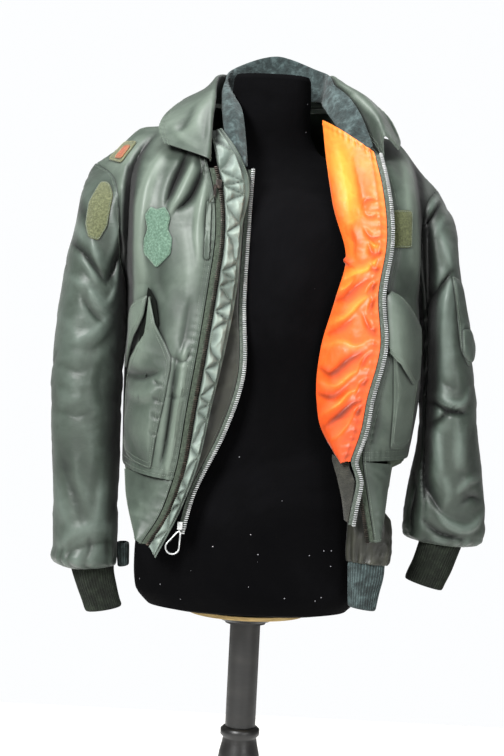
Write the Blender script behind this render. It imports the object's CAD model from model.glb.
"""Looks of a nylon flight jacket, hung open on a black jersey dress form with a turned pole stand.

Metres, +Z up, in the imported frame: +X is the wearer's left, +Y the wearer's back. The tables of rows
are the part's own. Each cloth is read from them finely, creased, and given its thickness, so that a
piece lies where its solid lies. "Right" and "left" are the wearer's.
"""

import math

import bmesh
import bpy
import numpy as np
from mathutils import Matrix, Vector, noise
from mathutils.bvhtree import BVHTree


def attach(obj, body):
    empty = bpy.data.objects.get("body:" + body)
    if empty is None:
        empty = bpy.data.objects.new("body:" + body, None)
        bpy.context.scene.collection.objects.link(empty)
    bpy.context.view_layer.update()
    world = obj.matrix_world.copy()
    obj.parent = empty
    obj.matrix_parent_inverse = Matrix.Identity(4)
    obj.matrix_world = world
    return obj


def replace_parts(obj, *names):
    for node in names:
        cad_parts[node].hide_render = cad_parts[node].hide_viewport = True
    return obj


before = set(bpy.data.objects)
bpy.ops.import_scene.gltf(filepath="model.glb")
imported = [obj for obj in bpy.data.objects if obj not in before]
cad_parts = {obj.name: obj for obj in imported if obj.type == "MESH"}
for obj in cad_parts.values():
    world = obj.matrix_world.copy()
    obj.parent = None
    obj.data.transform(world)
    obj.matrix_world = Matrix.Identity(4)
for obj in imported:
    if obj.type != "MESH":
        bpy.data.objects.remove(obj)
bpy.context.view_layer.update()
JACKET = "jacket_and_form"  # the body that everything but the ring pull rides on

# driving dimensions, as in the part
CLOTH = 0.0020  # shell cloth with its backing
SATIN = 0.0016  # liner cloth
KNIT = 0.0026  # cuffs, waistband, liner collar
SEAM = 0.0003  # gap between two pieces at a seam
LIFT = 0.0006  # gap under a piece that lies on a panel
PAD = 0.0045  # quilted wind flap
TAPE = 0.0012  # zip tape
RIB = 0.0011  # height of a knit rib
FORM_BOTTOM = 0.562
POLE_RADIUS = 0.0225
FOOT_RADIUS = 0.150
UNDERARM = 0.52  # where the side seam ends and the armhole begins, as a share of a panel's height
POLE_TURNING = (
    (0.0250, 0.3857), (0.0290, 0.382), (0.0290, 0.374), (0.0250, 0.370), (0.0300, 0.345), (0.0340, 0.300),
    (0.0330, 0.240), (0.0280, 0.160), (0.0250, 0.100), (0.0290, 0.070), (0.0380, 0.050), (0.0400, 0.0323),
)

# the photograph's camera: 2.2 m in front of the pole, turned by the photograph's own tilt
EYE = (-0.0085, -2.2, 0.905)
ROLL = math.radians(2.9)
SENSOR = 36.0
camera_data = bpy.data.cameras.new("camera")
camera_data.sensor_width = SENSOR
camera_data.lens = 1474 * SENSOR / 756
camera = bpy.data.objects.new("camera", camera_data)
camera.matrix_world = (
    Matrix.Translation(EYE) @ Matrix.Rotation(math.pi / 2, 4, "X") @ Matrix.Rotation(ROLL, 4, "Z")
)
bpy.context.scene.collection.objects.link(camera)
bpy.context.scene.camera = camera
bpy.context.scene.view_settings.view_transform = "Standard"


# materials
def linear(code):
    """An sRGB hex code as linear light, with full alpha."""
    channels = [int(code[k : k + 2], 16) / 255 for k in (0, 2, 4)]
    return (*(c / 12.92 if c <= 0.04045 else ((c + 0.055) / 1.055) ** 2.4 for c in channels), 1.0)


def node(tree, kind, links=(), **settings):
    """Add a node: links maps a socket's name or number to a value or to another node's output."""
    made = tree.nodes.new(kind)
    for key, value in settings.items():
        setattr(made, key, value)
    for key, value in dict(links).items():
        if isinstance(value, bpy.types.NodeSocket):
            tree.links.new(value, made.inputs[key])
        else:
            made.inputs[key].default_value = value
    return made


def surface(name, roughness, **settings):
    """A material with only its shader; settings are the shader's sockets, by their names."""
    made = bpy.data.materials.new(name)
    made.use_nodes = True
    shader = made.node_tree.nodes["Principled BSDF"]
    shader.inputs["Roughness"].default_value = roughness
    for key, value in settings.items():
        shader.inputs[key.replace("_", " ")].default_value = value
    return made, made.node_tree, shader


def mottled(
    tree, shader, colours, size, fold_share=0.0, detail=6.0, stretch=(1.0, 1.0, 1.0), hollow=None
):
    """Colour that wanders between three shades over size metres, and goes to hollow down in the folds."""
    place = node(tree, "ShaderNodeTexCoord").outputs["Object"]
    place = node(tree, "ShaderNodeMapping", {"Vector": place, "Scale": stretch}).outputs[0]
    patch = node(
        tree,
        "ShaderNodeTexNoise",
        {"Vector": place, "Scale": 1 / size, "Detail": detail, "Roughness": 0.6, "Distortion": 0.4},
    )
    level = patch.outputs["Fac"]
    if fold_share:
        fold = node(tree, "ShaderNodeAttribute", attribute_name="fold").outputs["Fac"]
        level = node(
            tree, "ShaderNodeMath", {0: fold, 1: fold_share, 2: level}, operation="MULTIPLY_ADD"
        )
        level = level.outputs[0]
    ramp = node(tree, "ShaderNodeValToRGB", {"Fac": level})
    ramp.color_ramp.elements[0].position = 0.28
    ramp.color_ramp.elements[1].position = 0.74
    ramp.color_ramp.elements[0].color = linear(colours[0])
    ramp.color_ramp.elements[1].color = linear(colours[2])
    ramp.color_ramp.elements.new(0.5).color = linear(colours[1])
    if hollow:
        ramp.color_ramp.elements.new(0.06).color = linear(hollow)
    colour = ramp.outputs["Color"]
    if hollow:
        # soil and shade gather where cloth lies close to cloth
        near = node(tree, "ShaderNodeAmbientOcclusion", {"Distance": 0.040}, samples=8).outputs["AO"]
        near = node(tree, "ShaderNodeMath", {0: near, 1: 1.5}, operation="POWER").outputs[0]
        colour = node(
            tree, "ShaderNodeMix", {"Factor": near, "A": linear(hollow), "B": colour}, data_type="RGBA"
        ).outputs["Result"]
    tree.links.new(colour, shader.inputs["Base Color"])
    return colour, place


def uneven_roughness(tree, shader, place, size, low, high):
    """Roughness that wanders between low and high."""
    rubbed = node(tree, "ShaderNodeTexNoise", {"Vector": place, "Scale": 1 / size, "Detail": 3.0})
    level = node(tree, "ShaderNodeMapRange", {"Value": rubbed.outputs["Fac"], 3: low, 4: high})
    tree.links.new(level.outputs[0], shader.inputs["Roughness"])


def weave(tree, spacing, turn=0.0, shape="SIN", distortion=0.0):
    """Parallel threads over the piece's own UV map, which is in metres: spacing apart."""
    flat = node(tree, "ShaderNodeUVMap", uv_map="metres").outputs[0]
    flat = node(tree, "ShaderNodeMapping", {"Vector": flat, "Rotation": (0, 0, turn)}).outputs[0]
    # a wave texture's bands repeat every 0.31 units at scale 1
    settings = {"Vector": flat, "Scale": 0.314 / spacing, "Distortion": distortion}
    return node(tree, "ShaderNodeTexWave", settings, wave_profile=shape).outputs["Fac"]


def bumps(tree, shader, layers):
    """Bump layers on one another: height output, distance in metres and strength."""
    below = None
    for height, distance, strength in layers:
        links = {"Height": height, "Distance": distance, "Strength": strength}
        if below is not None:
            links["Normal"] = below
        below = node(tree, "ShaderNodeBump", links).outputs["Normal"]
    tree.links.new(below, shader.inputs["Normal"])


def crinkle(tree, place, size, stretch=(1.0, 1.0, 1.0), kind="RIDGED_MULTIFRACTAL"):
    """The height of small sharp creases, size metres apart."""
    place = node(tree, "ShaderNodeMapping", {"Vector": place, "Scale": stretch}).outputs[0]
    settings = {"Vector": place, "Scale": 1 / size, "Detail": 3.0, "Roughness": 0.5, "Distortion": 0.6}
    return node(tree, "ShaderNodeTexNoise", settings, noise_type=kind).outputs["Fac"]


def nylon(name, colours, gloss, crease=0.0009, stretch=(1.0, 1.0, 1.0)):
    """Fine twill nylon over a backing: smooth and a little silvery, so each dent takes the light."""
    made, tree, shader = surface(name, gloss, Sheen_Weight=0.12, Sheen_Roughness=0.45)
    place = mottled(tree, shader, colours, 0.16, 0.55, hollow="070A08")[1]
    uneven_roughness(tree, shader, place, 0.05, gloss - 0.07, gloss + 0.10)
    # threads are 0.3 mm apart in such nylon, drawn at 1.1 mm so that they show at all
    twill = weave(tree, 0.0011, math.radians(52))
    wrinkle = crinkle(tree, place, 0.055, stretch)
    dents = crinkle(tree, place, 0.017, stretch, "FBM")
    bumps(tree, shader, [(wrinkle, crease, 0.8), (dents, crease * 0.8, 0.6), (twill, 0.00006, 0.5)])
    return made


def knit(name, colours, fuzz, rib=0.0):
    """Wool and nylon knit: no gloss at all, and a halo of loose fibre. A rib is given where it isn't modelled."""
    made, tree, shader = surface(
        name, 0.95, Sheen_Weight=fuzz, Sheen_Roughness=0.7, Specular_IOR_Level=0.15
    )
    place = mottled(tree, shader, colours, 0.012, 0.25)[1]
    # loops of yarn are about 1.6 mm across
    loops = crinkle(tree, place, 0.0032, (1, 1, 1), "FBM")
    layers = [(loops, 0.0012, 0.9)]
    if rib:
        layers.append((weave(tree, rib, math.radians(90)), 0.0008, 0.7))
    bumps(tree, shader, layers)
    return made


def pile(name, colours):
    """Loop fastening tape: a mat of nylon loops under 1 mm, which shows as a dull speckled felt."""
    made, tree, shader = surface(name, 0.9, Sheen_Weight=0.25, Specular_IOR_Level=0.2)
    place = mottled(tree, shader, colours, 0.0028, 0.2, 8.0)[1]
    loops = crinkle(tree, place, 0.0024, (1, 1, 1), "FBM")
    bumps(tree, shader, [(loops, 0.0014, 1.0)])
    return made


def metal(name, colours, roughness, shine=1.0):
    """Plated zinc or nickel: bright, and dulled in the places that fingers don't rub."""
    made, tree, shader = surface(name, roughness, Metallic=shine)
    place = mottled(tree, shader, colours, 0.01)[1]
    uneven_roughness(tree, shader, place, 0.006, roughness - 0.08, roughness + 0.15)
    bumps(tree, shader, [(crinkle(tree, place, 0.004, (1, 1, 1), "FBM"), 0.0001, 0.5)])
    return made


def satin(name, colours):
    """Acetate satin: a bright float on the face, from deep in the folds and low down to pale high up."""
    made, tree, shader = surface(name, 0.34, Sheen_Weight=0.2, Sheen_Roughness=0.3)
    place = node(tree, "ShaderNodeTexCoord").outputs["Object"]
    height = node(tree, "ShaderNodeSeparateXYZ", {0: place}).outputs["Z"]
    level = node(tree, "ShaderNodeMapRange", {"Value": height, 1: 0.80, 2: 1.24, 3: 0.32, 4: 0.78}).outputs[0]
    fold = node(tree, "ShaderNodeAttribute", attribute_name="fold").outputs["Fac"]
    level = node(tree, "ShaderNodeMath", {0: fold, 1: 0.60, 2: level}, operation="MULTIPLY_ADD").outputs[0]
    ramp = node(tree, "ShaderNodeValToRGB", {"Fac": level})
    ramp.color_ramp.elements[0].color = linear(colours[0])
    ramp.color_ramp.elements[1].color = linear(colours[3])
    ramp.color_ramp.elements.new(0.35).color = linear(colours[1])
    ramp.color_ramp.elements.new(0.65).color = linear(colours[2])
    tree.links.new(ramp.outputs["Color"], shader.inputs["Base Color"])
    uneven_roughness(tree, shader, place, 0.03, 0.40, 0.56)
    wrinkle = crinkle(tree, place, 0.036, (1, 1, 1.4))
    dents = crinkle(tree, place, 0.012, (1, 1, 1), "FBM")
    floats = weave(tree, 0.0009)
    bumps(tree, shader, [(wrinkle, 0.0012, 0.8), (dents, 0.0007, 0.6), (floats, 0.00005, 0.4)])
    return made


def jersey():
    """Cotton and nylon jersey over the form: near black, fine upright ribs, and white lint on it."""
    made, tree, shader = surface("black_cotton_jersey", 0.95, Specular_IOR_Level=0.05)
    colour, place = mottled(tree, shader, ("020203", "050506", "0C0C0E"), 0.22)
    # a speck of lint is a fibre ball of 1 mm or so; one is let through in every few square
    # centimetres
    cells = node(tree, "ShaderNodeTexVoronoi", {"Vector": place, "Scale": 95.0}, feature="F1")
    near = node(
        tree, "ShaderNodeMath", {0: cells.outputs["Distance"], 1: 0.085}, operation="LESS_THAN"
    )
    chance = node(tree, "ShaderNodeSeparateColor", {0: cells.outputs["Color"]}).outputs[0]
    height = node(tree, "ShaderNodeSeparateXYZ", {0: place}).outputs["Z"]
    # more lint gathers low on the form
    share = node(tree, "ShaderNodeMapRange", {"Value": height, 1: 0.56, 2: 0.80, 3: 0.30, 4: 0.035})
    kept = node(tree, "ShaderNodeMath", {0: chance, 1: share.outputs[0]}, operation="LESS_THAN")
    speck = node(
        tree, "ShaderNodeMath", {0: near.outputs[0], 1: kept.outputs[0]}, operation="MULTIPLY"
    )
    mixed = node(
        tree,
        "ShaderNodeMix",
        {"Factor": speck.outputs[0], "A": colour, "B": linear("8E8E92")},
        data_type="RGBA",
    )
    tree.links.new(mixed.outputs["Result"], shader.inputs["Base Color"])
    ribs = weave(tree, 0.0022)
    nap = crinkle(tree, place, 0.004, (1, 1, 1), "FBM")
    bumps(tree, shader, [(ribs, 0.0002, 0.35), (nap, 0.0005, 0.5)])
    return made


def painted_wood():
    """Turned hardwood under black paint: a satin coat with rings of tool marks and dull scuffs."""
    made, tree, shader = surface(
        "black_painted_hardwood", 0.35, Coat_Weight=0.25, Coat_Roughness=0.3
    )
    place = mottled(tree, shader, ("060606", "0E0E0D", "1E1D1B"), 0.05, 0.0, 8.0, (1, 1, 3))[1]
    uneven_roughness(tree, shader, place, 0.02, 0.28, 0.62)
    marks = crinkle(tree, place, 0.03, (0.2, 0.2, 9.0), "FBM")
    bumps(
        tree, shader,
        [(marks, 0.0005, 0.5), (crinkle(tree, place, 0.006, (1, 1, 1), "FBM"), 0.0003, 0.4)]
    )
    return made


def bare_wood():
    """A bare softwood board: pale, with the layers and pores of its grain."""
    made, tree, shader = surface("bare_softwood_board", 0.6)
    place = mottled(tree, shader, ("8F7443", "B3975E", "CDB47C"), 0.03, 0.0, 8.0, (1, 1, 14))[1]
    bumps(tree, shader, [(crinkle(tree, place, 0.012, (1, 1, 9), "FBM"), 0.0004, 0.6)])
    return made


SAGE = nylon("sage_nylon_twill", ("252E27", "3E4940", "616D62"), 0.47)
SAGE_SLEEVE = nylon("sage_nylon_sleeve", ("1F2721", "353F37", "56625A"), 0.47, 0.0014, (1, 1, 1.7))
PALE_SAGE = nylon("sage_nylon_facing", ("46524A", "74827A", "9AA79C"), 0.55, 0.0014, (1, 1, 1.5))
SAGE_KNIT = knit("sage_wool_knit", ("22281F", "363E33", "4C5648"), 0.10)
OLIVE_KNIT = knit("olive_rib_knit", ("0B0E09", "151A13", "242B21"), 0.04)
BLUE_KNIT = knit("blue_grey_wool_knit", ("161D1D", "2C3838", "536363"), 0.10)
TAUPE_KNIT = knit("taupe_wool_knit", ("1C1D18", "2B2B25", "3F3F37"), 0.1, 0.0036)
ORANGE = satin("rescue_orange_satin", ("6E2005", "C94A15", "DE6420", "EB9636"))
LINER = nylon("olive_satin", ("13140E", "23241B", "454638"), 0.42, 0.0014)
POCKET_LINING = surface("pocket_lining_cotton", 0.95, Base_Color=linear("0D100D"), Specular_IOR_Level=0.1)[0]
DARK_TAPE = pile("sage_cotton_zip_tape_dark", ("2A3129", "3A4338", "4C564A"))
GREY_TAPE = pile("sage_cotton_zip_tape", ("39403A", "4C544C", "666E66"))
DARK_METAL = metal("blackened_brass", ("171310", "2E2723", "62564C"), 0.36, 0.5)
SILVER_METAL = metal("nickel_plated_brass", ("8E9090", "B4B6B6", "DDDEDD"), 0.40, 0.35)
LOOP_OLIVE = pile("olive_loop_pile", ("3D412C", "54583E", "6F7354"))
LOOP_GREEN = pile("green_loop_pile", ("3A5043", "536D5D", "708B7A"))
LOOP_TAN = pile("tan_loop_pile", ("363A24", "484D31", "5F6443"))
PATCH_RED = pile("red_brown_felt", ("6A2F18", "8C4524", "A85F36"))
JERSEY = jersey()
BLACK_WOOD = painted_wood()
BARE_WOOD = bare_wood()
SAGE_THREAD = knit("sage_polyester_thread", ("4E5A4C", "6B776A", "8B978B"), 0.1)
DARK_THREAD = knit("dark_polyester_thread", ("262B23", "3B4238", "545C50"), 0.1)
ORANGE_THREAD = knit("orange_polyester_thread", ("C4521C", "E9742A", "F79A48"), 0.1)
TAN_THREAD = knit("tan_polyester_thread", ("6C6A4A", "8C8A66", "A9A784"), 0.1)


# surfaces read from a table of rows
def spline(keys, rows, at):
    """A table's rows read at any key between them, by a cubic with finite-difference slopes."""
    keys = np.asarray(keys, float)
    rows = np.asarray(rows, float)
    at = np.asarray(at, float)
    slopes = np.gradient(rows, keys, axis=0)
    low = np.clip(np.searchsorted(keys, at, side="right") - 1, 0, len(keys) - 2)
    step = keys[low + 1] - keys[low]
    u = (at - keys[low]) / step
    extra = (1,) * (rows.ndim - 1)
    u = u.reshape(u.shape + extra)
    step = step.reshape(step.shape + extra)
    return (
        (2 * u**3 - 3 * u**2 + 1) * rows[low]
        + (u**3 - 2 * u**2 + u) * step * slopes[low]
        + (3 * u**2 - 2 * u**3) * rows[low + 1]
        + (u**3 - u**2) * step * slopes[low + 1]
    )


def bezier(a, b, c, d, u):
    """Cubic Bezier between the points a and d, for each row of points and each u along it."""
    u = np.asarray(u, float)[None, :, None]
    a, b, c, d = (p[:, None, :] for p in (a, b, c, d))
    return a * (1 - u) ** 3 + b * 3 * u * (1 - u) ** 2 + c * 3 * u * u * (1 - u) + d * u**3


def normals(grid, closed=False):
    """Unit normals of a grid of points, by the differences between neighbours."""
    if closed:
        along = np.roll(grid, -1, axis=1) - np.roll(grid, 1, axis=1)
    else:
        along = np.gradient(grid, axis=1)
    across = np.gradient(grid, axis=0)
    found = np.cross(along, across)
    return found / np.maximum(np.linalg.norm(found, axis=2, keepdims=True), 1e-12)


def moved(grid, distance, closed=False):
    """The grid's points moved out along its normals."""
    distance = np.broadcast_to(distance, grid.shape[:2])[..., None]
    return grid + normals(grid, closed) * distance


# share of height, zip edge or neckline (x, y, z), fullness forward at the side and sideways at the
# edge
SLEEVE_HEADS = (  # height, and how far the head of the right and of the left sleeve sinks in
    (0.90, 0.0, 0.0),
    (1.00, 0.003, 0.007),
    (1.07, 0.007, 0.011),
    (1.10, 0.012, 0.014),
    (1.14, 0.016, 0.017),
    (1.17, 0.018, 0.016),
    (1.19, 0.014, 0.010),
    (1.205, 0.006, 0.004),
    (1.225, 0.0, 0.0),
)
INNER_SIDES = (  # the same for the sleeves' inner sides, towards the body
    (0.86, 0.0, 0.0),
    (0.91, 0.003, 0.0),
    (0.96, 0.005, 0.0),
    (1.02, 0.005, 0.0),
    (1.07, 0.0, 0.0),
)
COLLAR_FOLD = (  # and for the collars' outer folds
    (1.24, 0.0, 0.0),
    (1.29, 0.0, 0.003),
    (1.315, 0.0, 0.006),
    (1.328, 0.009, 0.008),
    (1.345, 0.016, 0.016),
    (1.358, 0.016, 0.015),
    (1.375, 0.004, 0.008),
    (1.385, 0.0, 0.0),
)


def drawn_in(grid, table, start, end):
    """Cloth sunk towards the body: by a table's amounts, growing across from start to end."""
    rows = np.asarray(table)
    x, z = grid[..., 0], grid[..., 2]
    amount = np.where(
        x < 0, np.interp(z, rows[:, 0], rows[:, 1]), np.interp(z, rows[:, 0], rows[:, 2])
    )
    share = np.clip((np.abs(x) - start) / (end - start), 0, 1)
    share = share * share * (3 - 2 * share)
    return grid - np.stack([np.sign(x) * amount * share, 0 * x, 0 * x], axis=-1)


def shouldered(grid):
    """A body panel with its sleeve heads sunk in, and lifted where the collar's ends lie on it."""
    x, z = grid[..., 0], grid[..., 2]
    near_end = np.exp(-(((np.abs(x) - 0.196) / 0.029) ** 2)) * np.clip((z - 1.19) / 0.06, 0, 1)
    rise = np.where(x < 0, 0.017, 0.020) * near_end
    return drawn_in(grid, SLEEVE_HEADS, 0.20, 0.30) + np.stack([0 * x, 0 * x, rise], axis=-1)


RIGHT_FRONT = (
    (-0.20, -0.152, -0.147, 0.667, 0.085, 0.050),
    (-0.10, -0.128, -0.148, 0.708, 0.085, 0.050),
    (0.00, -0.112, -0.148, 0.757, 0.085, 0.050),
    (0.20, -0.097, -0.158, 0.860, 0.090, 0.060),
    (0.38, -0.085, -0.160, 0.950, 0.095, 0.065),
    (0.52, -0.076, -0.156, 1.030, 0.100, 0.068),
    (0.66, -0.070, -0.150, 1.100, 0.045, 0.060),
    (0.80, -0.076, -0.142, 1.165, 0.025, 0.050),
    (0.90, -0.090, -0.118, 1.220, 0.015, 0.045),
    (0.96, -0.098, -0.066, 1.266, 0.006, 0.045),
    (1.00, -0.094, 0.004, 1.310, 0.000, 0.050),
)
LEFT_FRONT = (
    (-0.20, 0.175, -0.136, 0.684, 0.095, 0.030),
    (-0.10, 0.163, -0.142, 0.740, 0.095, 0.030),
    (0.00, 0.152, -0.146, 0.797, 0.095, 0.030),
    (0.20, 0.162, -0.152, 0.880, 0.100, 0.030),
    (0.38, 0.173, -0.154, 0.955, 0.100, 0.030),
    (0.52, 0.168, -0.150, 1.030, 0.100, 0.030),
    (0.66, 0.178, -0.146, 1.100, 0.050, 0.024),
    (0.80, 0.171, -0.138, 1.170, 0.025, 0.030),
    (0.90, 0.152, -0.114, 1.222, 0.015, 0.035),
    (0.96, 0.124, -0.064, 1.270, 0.006, 0.045),
    (1.00, 0.104, 0.006, 1.312, 0.000, 0.050),
)
# share of height, right side seam (x, y, z), left side seam (x, y, z), fullness of the back
SIDE_SEAMS = (
    (0.00, -0.194, 0.004, 0.772, 0.228, 0.004, 0.800, 0.166),
    (0.20, -0.197, 0.002, 0.860, 0.239, 0.002, 0.880, 0.170),
    (0.38, -0.199, 0.000, 0.950, 0.240, 0.000, 0.955, 0.178),
    (0.52, -0.203, 0.000, 1.030, 0.233, 0.000, 1.030, 0.182),
)
# share from underarm to shoulder point, right armhole (x, y, z), left armhole (x, y, z)
ARMHOLES_FRONT = (
    (0.00, -0.203, 0.000, 1.030, 0.233, 0.000, 1.030),
    (0.25, -0.207, -0.066, 1.080, 0.227, -0.064, 1.075),
    (0.55, -0.210, -0.086, 1.140, 0.226, -0.082, 1.128),
    (0.80, -0.224, -0.066, 1.184, 0.237, -0.062, 1.170),
    (1.00, -0.257, -0.005, 1.212, 0.255, -0.005, 1.198),
)
ARMHOLES_BACK = (
    (0.00, -0.203, 0.000, 1.030, 0.233, 0.000, 1.030),
    (0.25, -0.207, 0.066, 1.085, 0.229, 0.064, 1.080),
    (0.55, -0.212, 0.084, 1.145, 0.229, 0.082, 1.135),
    (0.80, -0.230, 0.062, 1.190, 0.240, 0.060, 1.178),
    (1.00, -0.257, -0.005, 1.212, 0.255, -0.005, 1.198),
)
BACK_NECK_DIP = 0.078  # how far behind the shoulder line the back neck lies
NECK_SHARE = 0.34  # share of the back's width taken by each shoulder

BACK_FOLDS = (
    (0.16, 0.92, 0.24, 0.45, 0.030, -0.0060),
    (0.84, 0.92, 0.77, 0.40, 0.030, -0.0060),
    (0.34, 0.50, 0.40, 0.04, 0.030, -0.0050),
    (0.62, 0.46, 0.57, 0.03, 0.030, -0.0050),
    (0.47, 0.30, 0.50, 0.02, 0.030, 0.0040),
    (0.10, 0.10, 0.90, 0.06, 0.035, 0.0040),
)


def relief(folds, across, up):
    """How far soft troughs and ridges move a surface out, at each place across and up it."""
    total = np.zeros(np.broadcast(across, up).shape)
    for a0, u0, a1, u1, width, depth in folds:
        da, du = a1 - a0, u1 - u0
        share = np.clip(((across - a0) * da + (up - u0) * du) / (da * da + du * du), 0, 1)
        gap = np.hypot(across - a0 - share * da, up - u0 - share * du)
        fade = np.sin(math.pi * np.clip(0.08 + 0.84 * share, 0, 1)) ** 0.5
        total = total + depth * fade * np.exp(-((gap / width) ** 2))
    return total


def side_rails(armholes, up):
    """Right and left edges of a panel: the side seam, then the armhole, one point for each height."""
    seams = np.asarray(SIDE_SEAMS)
    holes = np.asarray(armholes)
    seam = spline(seams[:, 0], seams[:, 1:7], np.minimum(up, UNDERARM))
    share = np.clip((up - UNDERARM) / (1 - UNDERARM), 0, 1)
    hole = spline(holes[:, 0], holes[:, 1:], share)
    both = np.where(up[:, None] > UNDERARM, hole, seam)
    return both[:, 0:3], both[:, 3:6]


def front_panel(table, wearer_side, folds, across, up):
    """A front: each row runs from the side seam or armhole to the zip edge or neckline."""
    rows = np.asarray(table)
    read = spline(rows[:, 0], rows[:, 1:], up)
    side = side_rails(ARMHOLES_FRONT, up)[wearer_side]
    side = side - (0, SEAM, 0)
    edge, forward, sideways = read[:, 0:3], read[:, 3], read[:, 4]
    chord = edge - side
    level = np.clip((up - 0.80) / 0.20, 0, 1)
    second = (
        side + chord * np.array((0.10, 0.0, 0.33)) + chord * level[:, None]
        * np.array((0.23, 0.33, 0))
    )
    second[:, 1] -= forward
    third = (
        edge - chord * np.array((0.0, 0.0, 0.33)) - chord * level[:, None] * np.array((0, 0.33, 0))
    )
    third[:, 0] -= np.sign(chord[:, 0]) * sideways
    grid = bezier(side, second, third, edge, across)
    places = across
    if wearer_side == 1:
        grid, places = grid[:, ::-1], across[::-1]
    return shouldered(moved(grid, relief(folds, places[None, :], up[:, None])))


def back_panel(folds, across, up):
    """The back: U-shaped rows to the underarm, then a patch between the armholes and the shoulders."""
    seams = np.asarray(SIDE_SEAMS)
    right, left = side_rails(ARMHOLES_BACK, up)
    right = right + (0, SEAM, 0)
    left = left + (0, SEAM, 0)
    behind = np.zeros((len(up), 3))
    behind[:, 1] = spline(seams[:, 0], seams[:, 7], np.minimum(up, UNDERARM))
    body = bezier(right, right + behind, left + behind, left, across)
    base_right, base_left = (
        rail[None] + (0, SEAM, 0) for rail in np.asarray(seams[-1, 1:7]).reshape(2, 3)
    )
    reach = np.array([[0, seams[-1, 7], 0]])
    base = bezier(base_right, base_right + reach, base_left + reach, base_left, across)
    shift = np.array((0, SEAM * 2, 0))
    neck_right = np.array(RIGHT_FRONT[-1][1:4]) + shift
    neck_left = np.array(LEFT_FRONT[-1][1:4]) + shift
    point_right = np.array(ARMHOLES_FRONT[-1][1:4]) + shift
    point_left = np.array(ARMHOLES_FRONT[-1][4:7]) + shift
    keys = (0.0, NECK_SHARE, 1 - NECK_SHARE, 1.0)
    line = np.stack([point_right, neck_right, neck_left, point_left])
    top = np.stack([np.interp(across, keys, line[:, k]) for k in range(3)], axis=-1)
    dip = np.clip((across - NECK_SHARE) / (1 - 2 * NECK_SHARE), 0, 1)
    top[:, 1] += BACK_NECK_DIP * (4 * dip * (1 - dip)) ** 0.6
    top[:, 2] += 0.006 * 4 * dip * (1 - dip)
    share = np.clip((up - UNDERARM) / (1 - UNDERARM), 0, 1)
    w = share[:, None, None]
    eased = np.concatenate([w**1.2, w**2.6, w**0.92], axis=2)
    patch = base * (1 - eased) + top[None] * eased
    s = across[None, :, None]
    straight_right = base[:, :1] * (1 - eased) + point_right * eased
    straight_left = base[:, -1:] * (1 - eased) + point_left * eased
    patch = patch + (1 - s) ** 3 * (right[:, None] - straight_right)
    patch = patch + s**3 * (left[:, None] - straight_left)
    grid = np.where(up[:, None, None] > UNDERARM, patch, body)[:, ::-1]
    return shouldered(moved(grid, relief(folds, across[None, ::-1], up[:, None])))


def strip(table, across, up, bulge=0.0):
    """A strip between two rails: rows of share, first rail (x, y, z), second rail (x, y, z)."""
    rows = np.asarray(table)
    read = spline(rows[:, 0], rows[:, 1:7], up)
    first, second = read[:, None, 0:3], read[:, None, 3:6]
    u = across[None, :, None]
    grid = first * (1 - u) + second * u
    return moved(grid, bulge * 4 * across * (1 - across))


def edge_rail(table, up):
    """The zip edge of a front at each share of its height, and below its hem down the waist tab."""
    rows = np.asarray(table)
    return spline(rows[:, 0], rows[:, 1:4], up)

# share below the hem, outer edge of the tab (x, y, z)
RIGHT_TAB = (
    (-0.20, -0.157, -0.140, 0.672),
    (-0.15, -0.168, -0.122, 0.697),
    (-0.08, -0.178, -0.100, 0.727),
    (-0.001, -0.184, -0.082, 0.766),
)
LEFT_TAB = (
    (-0.20, 0.181, -0.131, 0.686),
    (-0.12, 0.187, -0.122, 0.730),
    (-0.001, 0.194, -0.112, 0.793),
)
ZIP_WIDTH = 0.011
ZIP_GAP = 0.0012
# share of the zip's length, inner edge of the wind flap (x, y, z)
WIND_FLAP = (
    (-0.205, -0.130, -0.148, 0.648),
    (-0.12, -0.103, -0.150, 0.705),
    (-0.02, -0.083, -0.150, 0.760),
    (0.20, -0.062, -0.148, 0.868),
    (0.38, -0.047, -0.145, 0.950),
    (0.52, -0.037, -0.141, 1.020),
    (0.70, -0.033, -0.134, 1.115),
    (0.86, -0.032, -0.122, 1.198),
    (0.90, -0.046, -0.118, 1.226),
    (0.945, -0.069, -0.100, 1.258),
)
QUILT_PITCH = 0.036  # height of a quilted triangle on the wind flap
# share of length, centre (x, y, z), half width, half depth, tilt of the section in degrees
RIGHT_SLEEVE = (
    (0.10, -0.2450, 0.000, 1.105, 0.0880, 0.088, 65),
    (0.25, -0.2505, 0.000, 1.058, 0.0710, 0.087, 52),
    (0.40, -0.2535, -0.002, 0.998, 0.0575, 0.082, 36),
    (0.55, -0.2545, -0.004, 0.915, 0.0512, 0.077, 16),
    (0.70, -0.2520, -0.007, 0.835, 0.0500, 0.070, 5),
    (0.85, -0.2468, -0.010, 0.730, 0.0460, 0.062, 0),
    (0.95, -0.2430, -0.013, 0.645, 0.0450, 0.057, 0),
    (0.985, -0.2410, -0.014, 0.622, 0.0430, 0.053, -2),
    (1.00, -0.2308, -0.015, 0.6155, 0.0329, 0.0329, -6),
)
LEFT_SLEEVE = (
    (0.10, 0.2625, 0.000, 1.090, 0.0740, 0.086, 68),
    (0.25, 0.2705, 0.000, 1.040, 0.0500, 0.086, 52),
    (0.40, 0.2770, -0.002, 0.982, 0.0445, 0.083, 40),
    (0.55, 0.2825, -0.004, 0.900, 0.0405, 0.079, 22),
    (0.67, 0.2868, -0.006, 0.826, 0.0426, 0.072, 4),
    (0.78, 0.2872, -0.008, 0.765, 0.0520, 0.060, 0),
    (0.90, 0.2866, -0.010, 0.713, 0.0585, 0.050, -2),
    (0.96, 0.2862, -0.011, 0.689, 0.0575, 0.046, -3),
    (0.985, 0.2855, -0.0115, 0.6805, 0.0520, 0.0425, -4),
    (1.00, 0.2833, -0.012, 0.6755, 0.0329, 0.0329, -5),
)


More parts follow.
